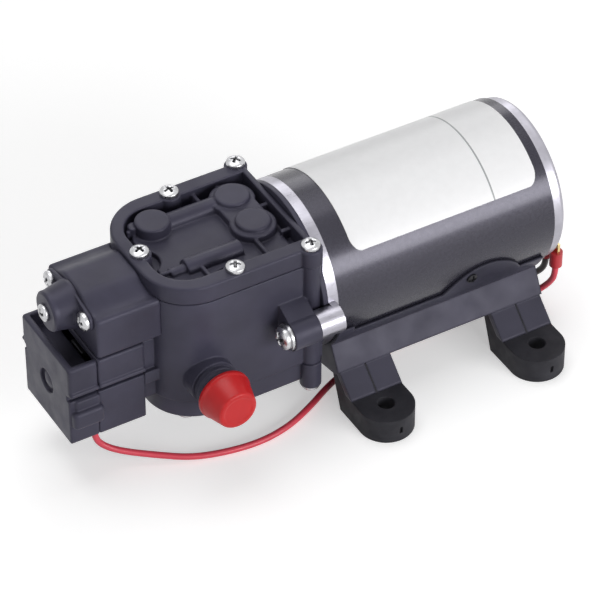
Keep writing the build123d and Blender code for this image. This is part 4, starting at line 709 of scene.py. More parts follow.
def mirrored(p: Array) -> Array:
    """Points folded over to the back, so that one form stands on both sides."""
    return np.stack([p[..., 0], np.abs(p[..., 1]), p[..., 2]], axis=-1)


def skin(
    name: str, form: Callable[[Array], Array], low: Triple, high: Triple, cell: float, origin: Triple
) -> Piece:
    """Closed surface where a distance form is zero.

    The form is read on a grid. Each grid cell that the surface crosses gets one point, the mean
    of the crossings on its edges. Each crossed grid edge gets a face between its four cells.
    Every point then moves by -f g / |g|^2 onto the surface, where g is the slope of the form f.

    Args:
        name: Name of the object.
        form: Signed distance of rows of points, in millimetres.
        low: Lowest corner of the form.
        high: Highest corner of the form.
        cell: Side of a grid cell.
        origin: Place of the form's own origin, in metres.

    Returns:
        The new object.
    """
    axes = [
        np.arange(start - 2.0 * cell, stop + 3.0 * cell, cell) + GRID_SHIFT * cell
        for start, stop in zip(low, high)
    ]
    grid = np.stack(np.meshgrid(*axes, indexing="ij"), axis=-1)
    inside = form(grid)
    total = np.zeros(grid.shape)
    tally = np.zeros(inside.shape)
    quads = []
    for axis in range(3):
        count = inside.shape[axis]
        first = np.take(inside, np.arange(count - 1), axis=axis)
        second = np.take(inside, np.arange(1, count), axis=axis)
        where = np.nonzero((first < 0.0) != (second < 0.0))
        crossing = grid[where].copy()
        crossing[:, axis] += first[where] / (first[where] - second[where]) * cell
        corners = []
        for back, side in ((1, 1), (0, 1), (0, 0), (1, 0)):
            index = [item.copy() for item in where]
            index[(axis + 1) % 3] -= back
            index[(axis + 2) % 3] -= side
            np.add.at(total, tuple(index), crossing)
            np.add.at(tally, tuple(index), 1.0)
            corners.append(np.ravel_multi_index(tuple(index), inside.shape))
        quad = np.stack(corners, axis=-1)
        outward = first[where] < 0.0
        quads.append(np.where(outward[:, None], quad, quad[:, ::-1]))
    used = np.nonzero(tally.ravel() > 0.0)[0]
    number = np.full(tally.size, -1)
    number[used] = np.arange(len(used))
    points = total.reshape(-1, 3)[used] / tally.ravel()[used][:, None]
    steps = SLOPE_STEP * cell * np.eye(3)
    for _ in range(ROUNDS):
        rises = [form(points + step) - form(points - step) for step in steps]
        slope = np.stack(rises, axis=-1) / (2.0 * SLOPE_STEP * cell)
        move = form(points) / np.maximum((slope * slope).sum(axis=-1), LEAST_STEEPNESS)
        points = points - np.clip(move, -cell / 2.0, cell / 2.0)[:, None] * slope
    return mesh_object(name, points * MM + np.array(origin), number[np.concatenate(quads)])


# Sub-assemblies


@dataclass
class SubAssembly:
    """What every sub-assembly shares: the materials, and how its pieces are finished."""

    paint: Paintbox

    def place(self, piece: Piece, slot: str, *nodes: str, body: str = "pump") -> Piece:
        """Give a piece its material, the body that it rides on and the nodes that it stands for.

        Args:
            piece: The new object.
            slot: The record's material slot.
            nodes: CAD nodes that it replaces.
            body: Body of the frame that it moves with.

        Returns:
            The same piece.
        """
        piece.data.materials.clear()
        piece.data.materials.append(self.paint.materials[slot])
        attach(piece, body)
        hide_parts(*nodes)
        log.info("%s rides on %s", piece.name, body)
        return piece


@dataclass(frozen=True)
class PanScrews:
    """Cross-recessed pan-head screws of one size."""

    head_radius: float = 2.7 * MM
    head_height: float = 1.9 * MM
    shank_radius: float = 1.45 * MM
    recess_reach: float = 1.4 * MM
    recess_width: float = 0.36 * MM
    recess_depth: float = 1.05 * MM
    crown_drop: float = 0.42
    crown_power: float = 2.6
    crown_share: float = 0.97
    recess_edge: float = 1.15
    recess_steepness: float = 3.0
    recess_rise: float = 0.35
    rim_heights: Pair = (0.5, 0.12)
    tip_share: float = 0.96
    rings: int = 20
    columns: int = 48
    sharp_angle: float = 38.0

    def head_surface(self, shank: float) -> tuple[Array, Array]:
        """Points of one screw, head up, with its seat at the origin.

        The crown is z = h (1 - 0.42 (r / R)^2.6), less a cross recess whose depth is
        d s (1 - 0.35 r / reach), where s falls from 1 in its slots to 0 outside them.

        Args:
            shank: Length below the seat.

        Returns:
            The points, row by row from the crown's middle to the tip, and each one's s.
        """
        angles = np.arange(self.columns) * (TURN / self.columns)
        share = np.linspace(0.0, 1.0, self.rings)[:, None]
        radii = share * self.head_radius * self.crown_share * np.ones(self.columns)
        x, y = radii * np.cos(angles), radii * np.sin(angles)
        drop = self.crown_drop * (radii / self.head_radius) ** self.crown_power
        width, reach = self.recess_width, self.recess_reach
        slots = np.minimum(
            np.maximum(np.abs(y) / width, np.abs(x) / reach),
            np.maximum(np.abs(x) / width, np.abs(y) / reach),
        )
        sunk = np.clip(self.recess_steepness * (self.recess_edge - slots), 0.0, 1.0)
        hollow = self.recess_depth * sunk * (1.0 - radii / reach * self.recess_rise)
        crown = np.stack([x, y, self.head_height * (1.0 - drop) - hollow], axis=-1)
        upper, lower = self.rim_heights
        rim = np.array(
            [
                (self.head_radius, self.head_height * upper),
                (self.head_radius, self.head_height * lower),
                (self.head_radius * self.crown_share, 0.0),
                (self.shank_radius, 0.0),
                (self.shank_radius, -shank * self.tip_share),
                (0.0, -shank),
            ]
        )
        r, h = rim[:, :1], rim[:, 1:]
        skirt = np.stack([r * np.cos(angles), r * np.sin(angles), h + 0.0 * angles], axis=-1)
        # recess depth of each point, which also places the zinc finish's painted shade
        shares = np.concatenate([sunk, np.zeros((len(rim), self.columns))])
        return np.concatenate([crown, skirt]).reshape(-1, 3), shares.ravel()

    def build(
        self, name: str, seats: list[Triple], facing: Triple, shank: float, turns: list[float]
    ) -> Piece:
        """Make one object of several screws.

        Args:
            name: Name of the object.
            seats: Centre of each head's seat.
            facing: Direction that the heads point in.
            shank: Length below the seat.
            turns: Angle of each recess in degrees.

        Returns:
            The new object.
        """
        points, sunk = self.head_surface(shank)
        faces = ring_faces(len(points) // self.columns, self.columns)
        aim = Vector((0.0, 0.0, 1.0)).rotation_difference(Vector(facing)).to_matrix()
        spins = [Matrix.Rotation(math.radians(turn), 3, "Z") for turn in turns]
        turned = [points @ np.array(aim @ spin).T + seat for spin, seat in zip(spins, seats)]
        starts = np.arange(len(seats))[:, None, None] * len(points)
        every_face = (faces + starts).reshape(-1, 4)
        made = mesh_object(name, np.stack(turned), every_face, shares=np.tile(sunk, len(seats)))
        sharpen(made, self.sharp_angle)
        return made


@dataclass
class Fasteners(SubAssembly):
    """All the screws that show, placed from the CAD nodes' own boxes."""

    turns: tuple[float, ...] = (20.0, 62.0, 8.0, 75.0, 41.0)
    small: PanScrews = PanScrews()
    large: PanScrews = PanScrews(3.4 * MM, 2.4 * MM, 1.95 * MM, 1.95 * MM, 0.5 * MM, 1.3 * MM)
    setter: PanScrews = PanScrews(2.55 * MM, 1.6 * MM, 1.45 * MM, 1.4 * MM, 0.4 * MM, 0.9 * MM)

    def seats(self, node: str, facing: Axis3, head: float) -> list[Triple]:
        """Seats of the heads of a node's solids, from its loose parts' boxes.

        Args:
            node: CAD node that holds the screws.
            facing: Direction of the heads.
            head: Height of a head.

        Returns:
            One seat to each screw, sorted by place.
        """
        form = opened(frame["nodes"][node].data, 0.001 * MM)
        along = np.array(facing.value)
        found = []
        left = set(form.verts)
        while left:
            stack = [left.pop()]
            island = [tuple(stack[0].co)]
            while stack:
                vert = stack.pop()
                for edge in vert.link_edges:
                    other = edge.other_vert(vert)
                    if other in left:
                        left.remove(other)
                        stack.append(other)
                        island.append(tuple(other.co))
            low, high = np.min(island, axis=0), np.max(island, axis=0)
            reach = np.where(along > 0, high, np.where(along < 0, low, (low + high) / 2.0))
            found.append(tuple((reach - along * head).tolist()))
        form.free()
        return sorted(found)

    def make(self, node: str, facing: Axis3, screw: PanScrews, shank: float, body: str) -> None:
        """Replace a node of screws by finer ones in the same places.

        Args:
            node: CAD node that holds the screws.
            facing: Direction of the heads.
            screw: Their size.
            shank: Length below the seat.
            body: Body that they move with.
        """
        seats = self.seats(node, facing, screw.head_height)
        turns = [self.turns[i % len(self.turns)] for i in range(len(seats))]
        made = screw.build(f"{node}_fine", seats, facing.value, shank, turns)
        self.place(made, "screw_zinc", node, body=body)

    def build(self) -> None:
        """Make every set of screws."""
        self.make("lid_screws", Axis3.UP, self.small, 11.5 * MM, "pump")
        self.make("cover_screws", Axis3.DOWN, self.small, 11.5 * MM, "pump")
        self.make("boss_screws", Axis3.LEFT, self.small, 8.5 * MM, "pump")
        self.make("motor_screws", Axis3.LEFT, self.large, 16.0 * MM, "pump")
        self.make("adjust_screw", Axis3.LEFT, self.setter, 2.9 * MM, "cut_out_screw")


@dataclass
class PortCaps(SubAssembly):
    """The two soft red caps, each a turned form with rolled edges.

    The profile runs from the dimpled face over the bead and the rim into the bore. Each corner
    has a radius, a distance from the pump's middle plane and a length cut from each side, in mm.
    """

    profile: Rows = (
        (0.0, 37.38, 0.0), (4.104, 37.38, 0.15), (4.56, 37.5, 0.15), (5.7, 37.5, 0.75),
        (7.5, 30.65, 0.3), (7.85, 30.3, 0.3), (7.85, 29.1, 0.35), (6.62, 29.1, 0.25),
        (6.62, 32.15, 0.2), (3.9, 32.15, 0.2), (3.9, 35.9, 0.3), (0.0, 35.9, 0.0),
    )
    axis: Triple = (-73.8, 0.0, 28.7)
    steps: int = 96

    def build(self) -> None:
        """Make the front and the back cap."""
        profile = rounded_profile(np.array(self.profile)) * MM
        for side, port in ((-1.0, "outlet"), (1.0, "inlet")):
            centres = np.array(self.axis) * MM + profile[:, 1:] * np.array([0.0, side, 0.0])
            sides = (np.array([0.0, 0.0, 1.0]), np.array([side, 0.0, 0.0]))
            made = tube(f"{port}_cap_soft", centres, profile[:, 0], sides, self.steps)
            sharpen(made)
            self.place(made, "cap_red", f"{port}_cap", body=f"{port}_cap_body")


@dataclass
class PumpLid(SubAssembly):
    """Lid of the pump head, with its rim, sunken floor, moat, valve bosses, pipes and ribs.

    Sizes are in millimetres, x and y in the frame's axes, z from the lid's seat. A disc is its
    centre and radius, a pipe its start, stop, y and radius, and a rib two corners in plan.
    """

    outline: Box = ((-86.5, -21.5), (FAR, 21.5), 14.5)
    right: float = -39.5
    height: float = 5.8
    edge: float = 0.6
    opening: Box = ((-82.7, -16.9), (FAR, 16.9), 9.5)
    opening_right: float = -41.3
    floor: float = 2.4
    floor_edge: float = 0.3
    moat_floor: float = 0.7
    moat_width: float = 2.3
    moat_edge: float = 0.2
    lug_radius: float = 3.3
    screw_hole: float = 1.55
    root: float = 0.4
    waist: Box = ((-54.6, -2.6), (-43.5, 9.7), 0.5)
    waist_top: float = 4.7
    waist_edge: float = 0.45
    lobes: Rows = ((-48.8, 9.7, 6.5), (-49.1, -2.6, 6.5))
    caps: Rows = ((-48.8, 9.7, 5.0), (-49.1, -2.6, 5.0), (-73.3, 10.8, 5.0))
    cap_top: float = 5.85
    cap_edge: float = 0.55
    nib: Triple = (-78.3, 12.5, 1.7)
    rib_span: Pair = (0.3, 4.0)
    rib_edge: float = 0.25
    relief_foot: float = 0.35
    cell: float = 0.3
    pipes: Rows = (
        (-73.3, -48.8, 11.0, 2.9), (-73.8, -56.6, -8.5, 2.9), (-78.4, -72.8, -8.5, 1.7),
    )
    screws: Rows = (
        (-41.4, -20.8), (-41.4, 20.8), (-63.7, -18.6), (-63.7, 18.6), (-83.0, 0.0),
    )
    ribs: Rows = (
        (-44.0, 2.9, -40.0, 4.1), (-44.0, -9.6, -40.0, -8.4), (-50.0, 15.0, -48.9, 18.0),
        (-57.6, 13.0, -56.5, 18.0), (-52.2, -18.0, -51.1, -8.0), (-80.8, 11.4, -77.0, 12.4),
        (-81.4, -8.9, -77.6, -7.9), (-70.4, -18.0, -69.3, -10.8),
    )

    def form(self, p: Array) -> Array:
        """The whole lid.

        Args:
            p: Points in millimetres.

        Returns:
            Signed distances.
        """
        bosses = [disc(p, *spot, self.lug_radius) for spot in self.screws]
        plan = np.maximum(block(p, *self.outline), p[..., 0] - self.right)
        lid = raised(p, together(plan, *bosses[:2]), 0.0, self.height, self.edge)
        opening = np.maximum(block(p, *self.opening), p[..., 0] - self.opening_right)
        opening = without(opening, *bosses)
        moat = np.maximum(opening, -self.moat_width - opening)
        lid = without(
            lid,
            raised(p, opening, self.floor, FAR, self.floor_edge),
            raised(p, moat, self.moat_floor, FAR, self.moat_edge),
        )
        holes = [disc(p, *spot, self.screw_hole) for spot in self.screws]
        return without(together(lid, self.relief(p)), *holes)

    def relief(self, p: Array) -> Array:
        """Raised forms on the floor: valve bosses on a waisted plate, far boss, pipes and ribs.

        Args:
            p: Points in millimetres.

        Returns:
            Signed distances.
        """
        plate = together(block(p, *self.waist), *(disc(p, *lobe) for lobe in self.lobes))
        bottom, top = self.rib_span
        form = together(
            raised(p, plate, self.root, self.waist_top, self.waist_edge),
            raised(p, disc(p, *self.nib), self.root, self.waist_top, self.floor_edge),
            *(raised(p, disc(p, *cap), self.root, self.cap_top, self.cap_edge) for cap in self.caps),
            *(lying(p, *pipe[:3], self.floor, pipe[3]) for pipe in self.pipes),
            *(block(p, (*rib[:2], bottom), (*rib[2:], top), self.rib_edge) for rib in self.ribs),
        )
        return np.maximum(form, self.relief_foot - p[..., 2])

    def build(self) -> None:
        """Make the lid in its node's place."""
        low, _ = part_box("pump_lid")
        right, reach = np.array(self.screws[1]) + self.lug_radius
        corners = ((self.outline[0][0], -reach, 0.0), (right, reach, self.cap_top))
        made = skin("pump_head_lid", self.form, *corners, self.cell, (0.0, 0.0, low[2]))
        self.place(made, "lid_plastic", "pump_lid")


@dataclass
class SwitchHousing(SubAssembly):
    """Upper housing of the pressure switch, with a rounded crest that sinks into shoulders.

    Sizes are in millimetres, x and y in the frame's axes, z from the housing's bottom.
    """

    left: float = -104.0
    right: float = -72.0
    half_width: float = 14.4
    shoulder: float = 12.7
    shoulder_half: float = 12.6
    shoulder_round: float = 1.6
    crown: float = 16.4
    crest_half: float = 4.2
    end_round: float = 1.0
    axis_z: float = 9.4
    plunger_bore: float = 4.34
    plunger_bore_end: float = -88.9
    disc_bore: float = 6.05
    disc_x: float = -89.9
    arm_slot: Box = ((-94.5, -3.4, -FAR), (-91.1, 3.4, 9.4), 0.1)
    screw_side: float = 9.95
    screw_z: float = 10.7
    screw_hole: float = 1.55
    screw_end: float = -96.0
    head: Box = ((-86.5, -21.5), (0.0, 21.5), 14.5)
    cell: float = 0.33

    def form(self, p: Array) -> Array:
        """The whole housing.

        Over |y| the top is s + (c - s) t^2 (3 - 2 t), where t goes from 0 at the shoulder to 1
        at the crest, s is the shoulder's height and c the crown's.

        Args:
            p: Points in millimetres.

        Returns:
            Signed distances.
        """
        x, y, z = p[..., 0], np.abs(p[..., 1]), p[..., 2]
        run = self.shoulder_half - self.crest_half
        t = np.clip((self.shoulder_half - y) / run, 0.0, 1.0)
        rise = self.crown - self.shoulder
        top = self.shoulder + rise * t * t * (3.0 - 2.0 * t)
        slope = rise * 6.0 * t * (1.0 - t) / run
        above = (z - top) / np.sqrt(1.0 + slope * slope)
        form = softened(above, y - self.half_width, self.shoulder_round)
        form = softened(form, self.left - x, self.end_round)
        form = np.maximum(form, np.maximum(-z, x - self.right))
        across = np.hypot(y, z - self.axis_z)
        screws = np.hypot(y - self.screw_side, z - self.screw_z) - self.screw_hole
        return without(
            form,
            block(p, *self.head),
            block(p, *self.arm_slot),
            np.maximum(across - self.plunger_bore, x - self.plunger_bore_end),
            np.maximum(across - self.disc_bore, self.disc_x - x),
            np.maximum(screws, x - self.screw_end),
        )

    def build(self) -> None:
        """Make the housing in its node's place."""
        low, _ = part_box("switch_housing")
        corners = ((self.left, -self.half_width, 0.0), (self.right, self.half_width, self.crown))
        made = skin("switch_upper_housing", self.form, *corners, self.cell, (0.0, 0.0, low[2]))
        self.place(made, "switch_plastic", "switch_housing")


@dataclass
class SwitchBlock(SubAssembly):
    """Lower block of the pressure switch: its open box and its end cover, edges rounded.

    Sizes are in millimetres, x from the cover's end face, z from the bottom. The body, the upper
    panel and the bead are each given by half a width, a foot, a top and the radius of the edges.
    """

    seam: float = 8.9
    length: float = 23.4
    height: float = 27.0
    reach: float = 15.5
    outside: Rows = (
        (13.4, 0.0, 27.0, 0.45), (14.0, 17.9, 27.0, 0.9), (14.75, 17.4, 18.7, 0.6),
    )
    groove: Box = ((-FAR, 12.0, 15.3), (FAR, FAR, 17.2), 0.3)
    lead_hole: Triple = (8.5, -10.2, 1.0)
    lead_hole_top: float = 2.9
    pocket: Box = ((1.8, -12.3, 21.7), (FAR, 12.3, FAR), 0.5)
    cover_room: Box = ((3.1, -11.5, 1.9), (FAR, 11.5, 19.8), 0.5)
    recess_radius: float = 3.7
    recess_depth: float = 1.2
    recess_z: float = 13.3
    plug_radius: float = 2.95
    plug_top: float = 0.15
    plug_drop: float = 0.75
    plug_foot: float = 2.0
    latch_bar: Box = ((0.5, -15.5, 5.9), (9.9, -12.4, 11.7), 1.25)
    latch_arm: Box = ((1.9, -14.0, 7.3), (9.3, -12.4, 14.9), 0.4)
    latch_bed: float = 13.43
    ridge: Box = ((1.0, 12.4, 13.4), (8.9, 15.5, 20.4), 1.2)
    ridge_root: float = 12.9
    box_room: Box = ((-FAR, -11.5, 1.9), (21.5, 11.5, 25.1), 0.5)
    arm_slot: Box = ((18.4, -3.4, 22.1), (21.8, 3.4, FAR), 0.1)
    shelf: Box = ((13.5, 3.25, 0.9), (22.5, 5.15, 11.7), 0.2)
    cell: float = 0.33

    def shell(self, p: Array, start: float, stop: float) -> Array:
        """Outside of either piece, less a groove on each side.

        Args:
            p: Points in millimetres.
            start: Where the piece starts along x.
            stop: Where it stops.

        Returns:
            Signed distances.
        """
        parts = [
            block(p, (start, -half, foot), (stop, half, top), edge)
            for half, foot, top, edge in self.outside
        ]
        return without(together(*parts), block(mirrored(p), *self.groove))

    def hole(self, p: Array) -> Array:
        """Hole in the floor, at the seam, for the red lead."""
        return np.maximum(disc(p, *self.lead_hole), p[..., 2] - self.lead_hole_top)

    def cover(self, p: Array) -> Array:
        """End cover: pocket on top, domed plug in a round recess, ridge, and a rounded latch.

        Args:
            p: Points in millimetres.

        Returns:
            Signed distances.
        """
        x, y, z = p[..., 0], p[..., 1], p[..., 2]
        across = np.hypot(y, z - self.recess_z)
        recess = np.maximum(across - self.recess_radius, x - self.recess_depth)
        form = without(self.shell(p, 0.0, self.seam), block(p, *self.pocket), recess)
        dome = self.plug_top + self.plug_drop * (across / self.plug_radius) ** 2
        plug = np.maximum(across - self.plug_radius, np.maximum(dome - x, x - self.plug_foot))
        form = without(together(form, plug), block(p, *self.cover_room))
        ridge = np.maximum(block(p, *self.ridge), self.ridge_root - y)
        latch = together(block(p, *self.latch_bar), block(p, *self.latch_arm))
        latch = without(latch, np.maximum(self.seam - x, np.abs(y) - self.latch_bed))
        return without(together(form, ridge, latch), self.hole(p))

    def open_box(self, p: Array) -> Array:
        """Open box with a slot for the plunger's arm and two shelves beside the snap switch."""
        form = without(
            self.shell(p, self.seam, self.length), block(p, *self.box_room), block(p, *self.arm_slot)
        )
        return without(together(form, block(mirrored(p), *self.shelf)), self.hole(p))

    def build(self) -> None:
        """Make the cover and the open box in their nodes' places."""
        low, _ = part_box("switch_cover")
        for name, form, start, stop, node in (
            ("switch_end_cover", self.cover, 0.0, self.latch_bar[1][0], "switch_cover"),
            ("switch_open_box", self.open_box, self.seam, self.length, "switch_base"),
        ):
            corners = ((start, -self.reach, 0.0), (stop, self.reach, self.height))
            made = skin(name, form, *corners, self.cell, (low[0], 0.0, low[2]))
            self.place(made, "switch_plastic", node)


@dataclass
class SwitchSpring(SubAssembly):
    """Spring between the switch's plunger and its seat, which shortens as the plunger moves."""

    travel: float = 1.0 * MM
    sharp_angle: float = 40.0

    def build(self) -> None:
        """Make the spring from its CAD form."""
        shell = opened(frame["nodes"]["pressure_spring"].data, 0.001 * MM)
        mesh = bpy.data.meshes.new("switch_spring")
        kept(shell, mesh)
        made = linked("switch_spring", mesh)
        sharpen(made, self.sharp_angle)
        self.place(made, "spring_steel", "pressure_spring")
        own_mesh(made)


@dataclass
class Leads(SubAssembly):
    """The red lead along the pump and the black supply lead, routes and coil in millimetres."""

    radius: float = 0.95 * MM
    coil_centre: Triple = (8.0, 8.5, 1.55)
    coil_outer: float = 11.5
    coil_pitch: float = 2.5
    coil_turns: float = 1.5
    coil_rise: float = 2.5
    straight_end: float = 1.9
    points_per_turn: int = 16
    strands: int = 7
    strand_radius: float = 0.19 * MM
    strand_circle: float = 0.38 * MM
    strand_lay: float = 3.4 * MM
    strand_span: Pair = (-0.6 * MM, 4.9 * MM)
    strand_rows: int = 26
    strand_steps: int = 10
    tie_width: float = 2.6 * MM
    tie_thickness: float = 0.4 * MM
    tie_head: float = 1.6 * MM
    tie_bend: float = 0.9 * MM
    tie_edge: float = 0.25 * MM
    tie_angle: float = 40.0
    bend_steps: int = 7
    red_route: Rows = (
        (-104.4, -10.2, 16.2), (-104.4, -10.2, 12.2), (-102.6, -10.9, 8.4), (-97.6, -13.0, 5.4),
        (-88.5, -17.2, 3.0), (-80.0, -21.2, 1.3), (-70.5, -23.9, 1.0), (-60.0, -25.2, 1.0),
        (-50.0, -23.6, 1.0), (-40.5, -19.4, 1.0), (-31.5, -14.3, 1.0), (-20.0, -10.0, 1.0),
        (-6.0, -7.4, 1.0), (8.0, -6.9, 1.0), (20.0, -7.4, 1.0), (30.0, -8.8, 1.0),
        (37.0, -11.4, 2.4), (41.2, -14.2, 6.2), (42.6, -16.6, 10.2), (42.8, -17.6, 13.6),
        (42.8, -17.6, 16.7),
    )
    black_route: Rows = (
        (42.8, -12.6, 16.7), (42.8, -12.6, 13.6), (42.4, -10.8, 9.8), (40.4, -7.4, 6.0),
        (37.2, -2.8, 2.8), (33.2, 2.6, 1.3), (29.0, 8.2, 1.1), (24.0, 13.6, 1.2),
        (18.6, 17.6, 1.4), (12.6, 20.0, 1.55),
    )

    def coil_points(self) -> Rows:
        """Control points of the coil's turns.

        After t quarter turns the angle is pi/2 + pi t / 2, the radius falls by a quarter pitch
        each quarter turn on the way in and grows again on the way out, and the height climbs one
        layer over two quarter turns in the middle. A straight end follows the last turn.

        Returns:
            The points in millimetres.
        """
        steps = self.coil_turns * 8.0 + 2.0
        layer = self.coil_turns * 4.0
        t = np.linspace(0.0, steps, int(steps / 4.0 * self.points_per_turn) + 1)
        angle = np.pi / 2.0 + np.pi * t / 2.0
        inward = np.minimum(t, layer + 1.0)
        outward = np.maximum(t - layer - 1.0, 0.0)
        radius = self.coil_outer - self.coil_pitch * (inward - outward) / 4.0
        rise = np.clip((t - layer) / 2.0, 0.0, 1.0)
        height = self.coil_rise * rise * rise * (3.0 - 2.0 * rise)
        cos, sin = np.cos(angle), np.sin(angle)
        turns = np.stack([radius * cos, radius * sin, height], axis=-1) + self.coil_centre
        along = radius[-1] * np.pi / 2.0 * np.array([-sin[-1], cos[-1], 0.0])
        along = along + self.coil_pitch / 4.0 * np.array([cos[-1], sin[-1], 0.0])
        tail = turns[-1] + along / np.linalg.norm(along) * self.straight_end
        return tuple(tuple(row) for row in np.vstack([turns, tail]).tolist())

    def cord_curve(self, name: str, route: Rows) -> Piece:
        """A round cord as a NURBS curve of order 3 through its first and last points.

        Args:
            name: Name of the object and its curve.
            route: Control points in millimetres.

        Returns:
            The new object.
        """
        curve = bpy.data.curves.new(name, "CURVE")
        curve.dimensions = "3D"
        curve.bevel_depth = self.radius
        curve.bevel_resolution = 6
        curve.resolution_u = 10
        curve.use_fill_caps = True
        spline = curve.splines.new("NURBS")
        spline.points.add(len(route) - 1)
        flat = np.ones((len(route), 4))
        flat[:, :3] = np.array(route) * MM
        spline.points.foreach_set("co", flat.ravel())
        spline.order_u = 3
        spline.use_endpoint_u = True
        return linked(name, curve)

    def centreline(self, cord: Piece) -> Array:
        """Points along a cord's own spline.

        Args:
            cord: The cord.

        Returns:
            Rows of x, y and z in metres.
        """
        bare = cord.data.copy()
        bare.bevel_depth = 0.0
        helper = linked("line_reader", bare)
        graph = bpy.context.evaluated_depsgraph_get()
        mesh = bpy.data.meshes.new_from_object(helper.evaluated_get(graph))
        flat = np.empty(len(mesh.vertices) * 3)
        mesh.vertices.foreach_get("co", flat)
        bpy.data.objects.remove(helper)
        bpy.data.meshes.remove(mesh)
        return flat.reshape(-1, 3)

    def length(self, cord: Piece) -> float:
        """Length of a cord's own spline in metres."""
        return float(np.linalg.norm(np.diff(self.centreline(cord), axis=0), axis=1).sum())

    def stripped_end(self, cord: Piece) -> Piece:
        """Seven twisted and tinned strands that stand out of the lead's far end.

        Strand n follows c(s) + p (cos(w s + n pi / 3) i + sin(w s + n pi / 3) j), round a core
        strand, where c(s) runs straight on from the lead.

        Args:
            cord: The lead.

        Returns:
            The new object.
        """
        before, end = self.centreline(cord)[-2:]
        ahead = (end - before) / np.linalg.norm(end - before)
        across = np.cross(ahead, np.array([0.0, 0.0, 1.0]))
        across = across / np.linalg.norm(across)
        upward = np.cross(across, ahead)
        s = np.linspace(*self.strand_span, self.strand_rows)[:, None]
        radii = np.full(self.strand_rows, self.strand_radius)
        radii[[0, -1]] = 0.0
        parts = []
        core = self.strands - 1
        for number in range(self.strands):
            circle = 0.0 if number == core else self.strand_circle
            phase = (s / self.strand_lay + number / core) * TURN
            twist = np.cos(phase) * across + np.sin(phase) * upward
            centres = end + s * ahead + circle * twist
            sides = (across, upward)
            parts.append(tube(f"strand_{number}", centres, radii, sides, self.strand_steps))
        made = join("lead_end_strands", parts)
        return self.place(made, "tinned_wire", "black_lead_end")

    def tie(self) -> Piece:
        """Cable tie round the turns: a rounded band with a ratchet head.

        The band's path is a rectangle whose corners are quarter circles c + r (cos a, sin a) in
        x and z. Its flat section runs round that path.

        Returns:
            The new object.
        """
        low, high = (np.array(corner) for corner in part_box("coil_tie"))
        head, thick, bend = self.tie_head, self.tie_thickness, self.tie_bend
        inner = low[[0, 2]] + thick / 2.0 + bend
        outer = high[[0, 2]] - thick / 2.0 - bend - np.array([head, 0.0])
        centres = np.array([inner, (outer[0], inner[1]), outer, (inner[0], outer[1])])
        quarter = np.linspace(0.0, math.pi / 2.0, self.bend_steps)
        turn = math.pi * (1.0 + np.arange(4.0)[:, None] / 2.0) + quarter
        arcs = centres[:, None] + bend * np.stack([np.cos(turn), np.sin(turn)], axis=-1)
        ring = arcs.reshape(-1, 2)
        along = np.roll(ring, -1, axis=0) - np.roll(ring, 1, axis=0)
        outward = np.stack([along[:, 1], -along[:, 0]], axis=-1)
        outward = outward / np.linalg.norm(outward, axis=1)[:, None]
        middle, half = (low[1] + high[1]) / 2.0, self.tie_width / 2.0
        rows = []
        for side, y in ((1.0, -half), (1.0, half), (-1.0, half), (-1.0, -half)):
            loop = ring + outward * side * thick / 2.0
            rows.append(np.stack([loop[:, 0], np.full(len(loop), middle + y), loop[:, 1]], -1))
        points = np.stack(rows, axis=1)
        closed = np.concatenate([points, points[:1]])
        band = mesh_object("tie_band", closed, ring_faces(len(closed), 4))
        start = np.array([high[0] - head - thick, middle - half, high[2] - head])
        stop = np.array([high[0], middle + half, high[2]])
        box = bmesh.new()
        bmesh.ops.create_cube(box, size=1.0)
        for vert in box.verts:
            vert.co = np.array(vert.co) * (stop - start) + (stop + start) / 2.0
        bmesh.ops.bevel(
            box, geom=list(box.edges), offset=self.tie_edge, segments=2, affect="EDGES", profile=0.6
        )
        mesh = bpy.data.meshes.new("tie_head")
        kept(box, mesh)
        made = join("coil_tie_band", [band, linked("tie_head", mesh)])
        sharpen(made, self.tie_angle)
        return self.place(made, "tie_nylon", "coil_tie")

    def build(self) -> None:
        """Make both leads with the pieces on them."""
        red = self.cord_curve("lead_red", self.red_route)
        self.place(red, "red_insulation", "red_lead")
        self.length(red)
        black = self.cord_curve("lead_black", self.black_route + self.coil_points())
        self.place(black, "black_insulation", "black_lead", "black_lead_coil")
        strands = self.stripped_end(black)
        band = self.tie()
        self.length(black)


@dataclass(frozen=True)
class Lamp:
    """Rectangular soft lamp: its name, its place, its face's width and height, and its watts."""

    name: str
    at: Triple
    size: Pair
    power: float
    target: Triple = (-0.03, 0.0, 0.03)

    def build(self) -> None:
        """Make the lamp, aimed at its target."""
        data = bpy.data.lights.new(self.name, "AREA")
        data.shape = "RECTANGLE"
        data.size, data.size_y = self.size
        data.energy = self.power
        made = linked(self.name, data)
        made.location = self.at
        aim = Vector(self.target) - Vector(self.at)
        made.rotation_euler = aim.to_track_quat("-Z", "Y").to_euler()


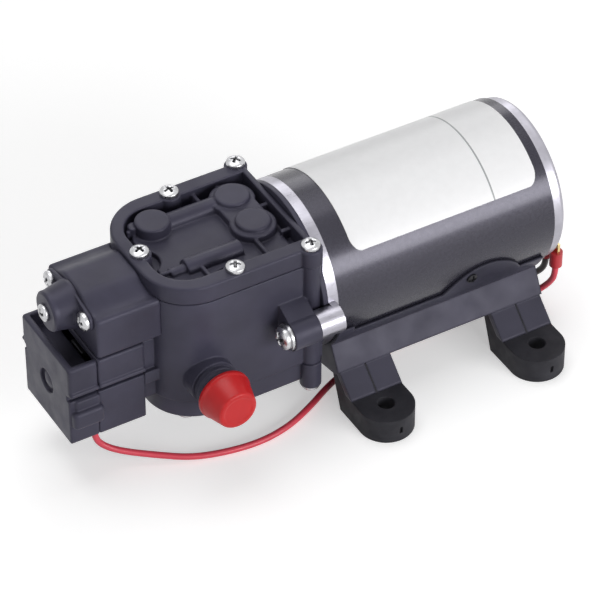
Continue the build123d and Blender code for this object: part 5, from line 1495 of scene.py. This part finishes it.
@dataclass
class Studio:
    """Camera, soft lamps, pale floor and white surroundings."""

    location: Triple = (-0.41036, -0.64716, 0.66895)
    right: Triple = (0.8637, -0.5041, 0.0)
    up: Triple = (0.32899, 0.56367, 0.75775)
    focal_pixels: float = 3488.7
    frame_width: float = 600.0
    sensor: float = 36.0
    clip: Pair = (0.01, 50.0)
    lamps: tuple[Lamp, ...] = (
        Lamp("lamp_above", (-0.05, 0.2, 0.95), (0.8, 0.6), 3.8),
        Lamp("lamp_left", (-0.95, -0.3, 0.4), (0.5, 0.5), 1.0),
        Lamp("lamp_front", (0.3, -1.0, 0.35), (0.9, 0.4), 8.6),
        Lamp("lamp_back", (0.4, 0.8, 0.5), (0.5, 0.4), 1.0),
    )
    floor_half: float = 2.0
    floor_drop: float = 0.05 * MM
    floor_mottle: Noise = Noise(3.0, 2.0, (0.0, 1.0))
    floor_colours: tuple[Triple, Triple] = ((0.86, 0.86, 0.86), (0.88, 0.88, 0.88))
    floor_glow: float = 0.42
    room_fill: float = 0.15

    def camera(self) -> None:
        """Camera at the photograph's place and angle."""
        data = bpy.data.cameras.new("photo_camera")
        data.sensor_width = self.sensor
        data.lens = self.focal_pixels / self.frame_width * self.sensor
        data.clip_start, data.clip_end = self.clip
        right = Vector(self.right).normalized()
        up = Vector(self.up).normalized()
        turned = Matrix((right, up, right.cross(up))).transposed().to_4x4()
        turned.translation = Vector(self.location)
        made = linked("photo_camera", data)
        made.matrix_world = turned
        bpy.context.scene.camera = made

    def floor(self) -> None:
        """White floor that keeps the pump's soft shadow."""
        corners = np.array([(-1.0, -1.0, 0.0), (1.0, -1.0, 0.0), (1.0, 1.0, 0.0), (-1.0, 1.0, 0.0)])
        points = corners * self.floor_half - np.array([0.0, 0.0, self.floor_drop])
        made = mesh_object("floor", points, np.array([[0, 1, 2, 3]]), False)
        material = bpy.data.materials.new("floor_white")
        material.use_nodes = True
        graph = ShaderGraph(material.node_tree)
        inputs = {
            "Base Color": graph.blend(graph.noise(self.floor_mottle), *self.floor_colours),
            "Roughness": 0.7,
            "Specular IOR Level": 0.1,
            "Emission Color": WHITE,
            "Emission Strength": graph.seen(0.0, self.floor_glow),
        }
        graph.feed(graph.shader, inputs)
        made.data.materials.append(material)

    def surroundings(self) -> None:
        """World: white to the camera and in reflections, plain soft fill otherwise."""
        world = bpy.data.worlds.new("white_room")
        bpy.context.scene.world = world
        world.use_nodes = True
        graph = ShaderGraph(world.node_tree, "Background")
        graph.feed(graph.shader, {"Color": WHITE, "Strength": graph.seen(self.room_fill, 1.0)})

    def build(self) -> None:
        """Set up everything that isn't the pump."""
        self.camera()
        for lamp in self.lamps:
            lamp.build()
        self.floor()
        self.surroundings()
        bpy.context.scene.view_settings.view_transform = "Standard"


def main() -> None:
    """Build the studio, the leads and every sub-assembly in order."""
    logging.basicConfig(level=logging.INFO)
    Studio().build()
    paint = Paintbox()
    paint.dress_frame()
    for kind in (Leads, PumpLid, SwitchHousing, SwitchBlock, SwitchSpring, Fasteners, PortCaps):
        kind(paint).build()


if __name__ == "__main__":
    main()
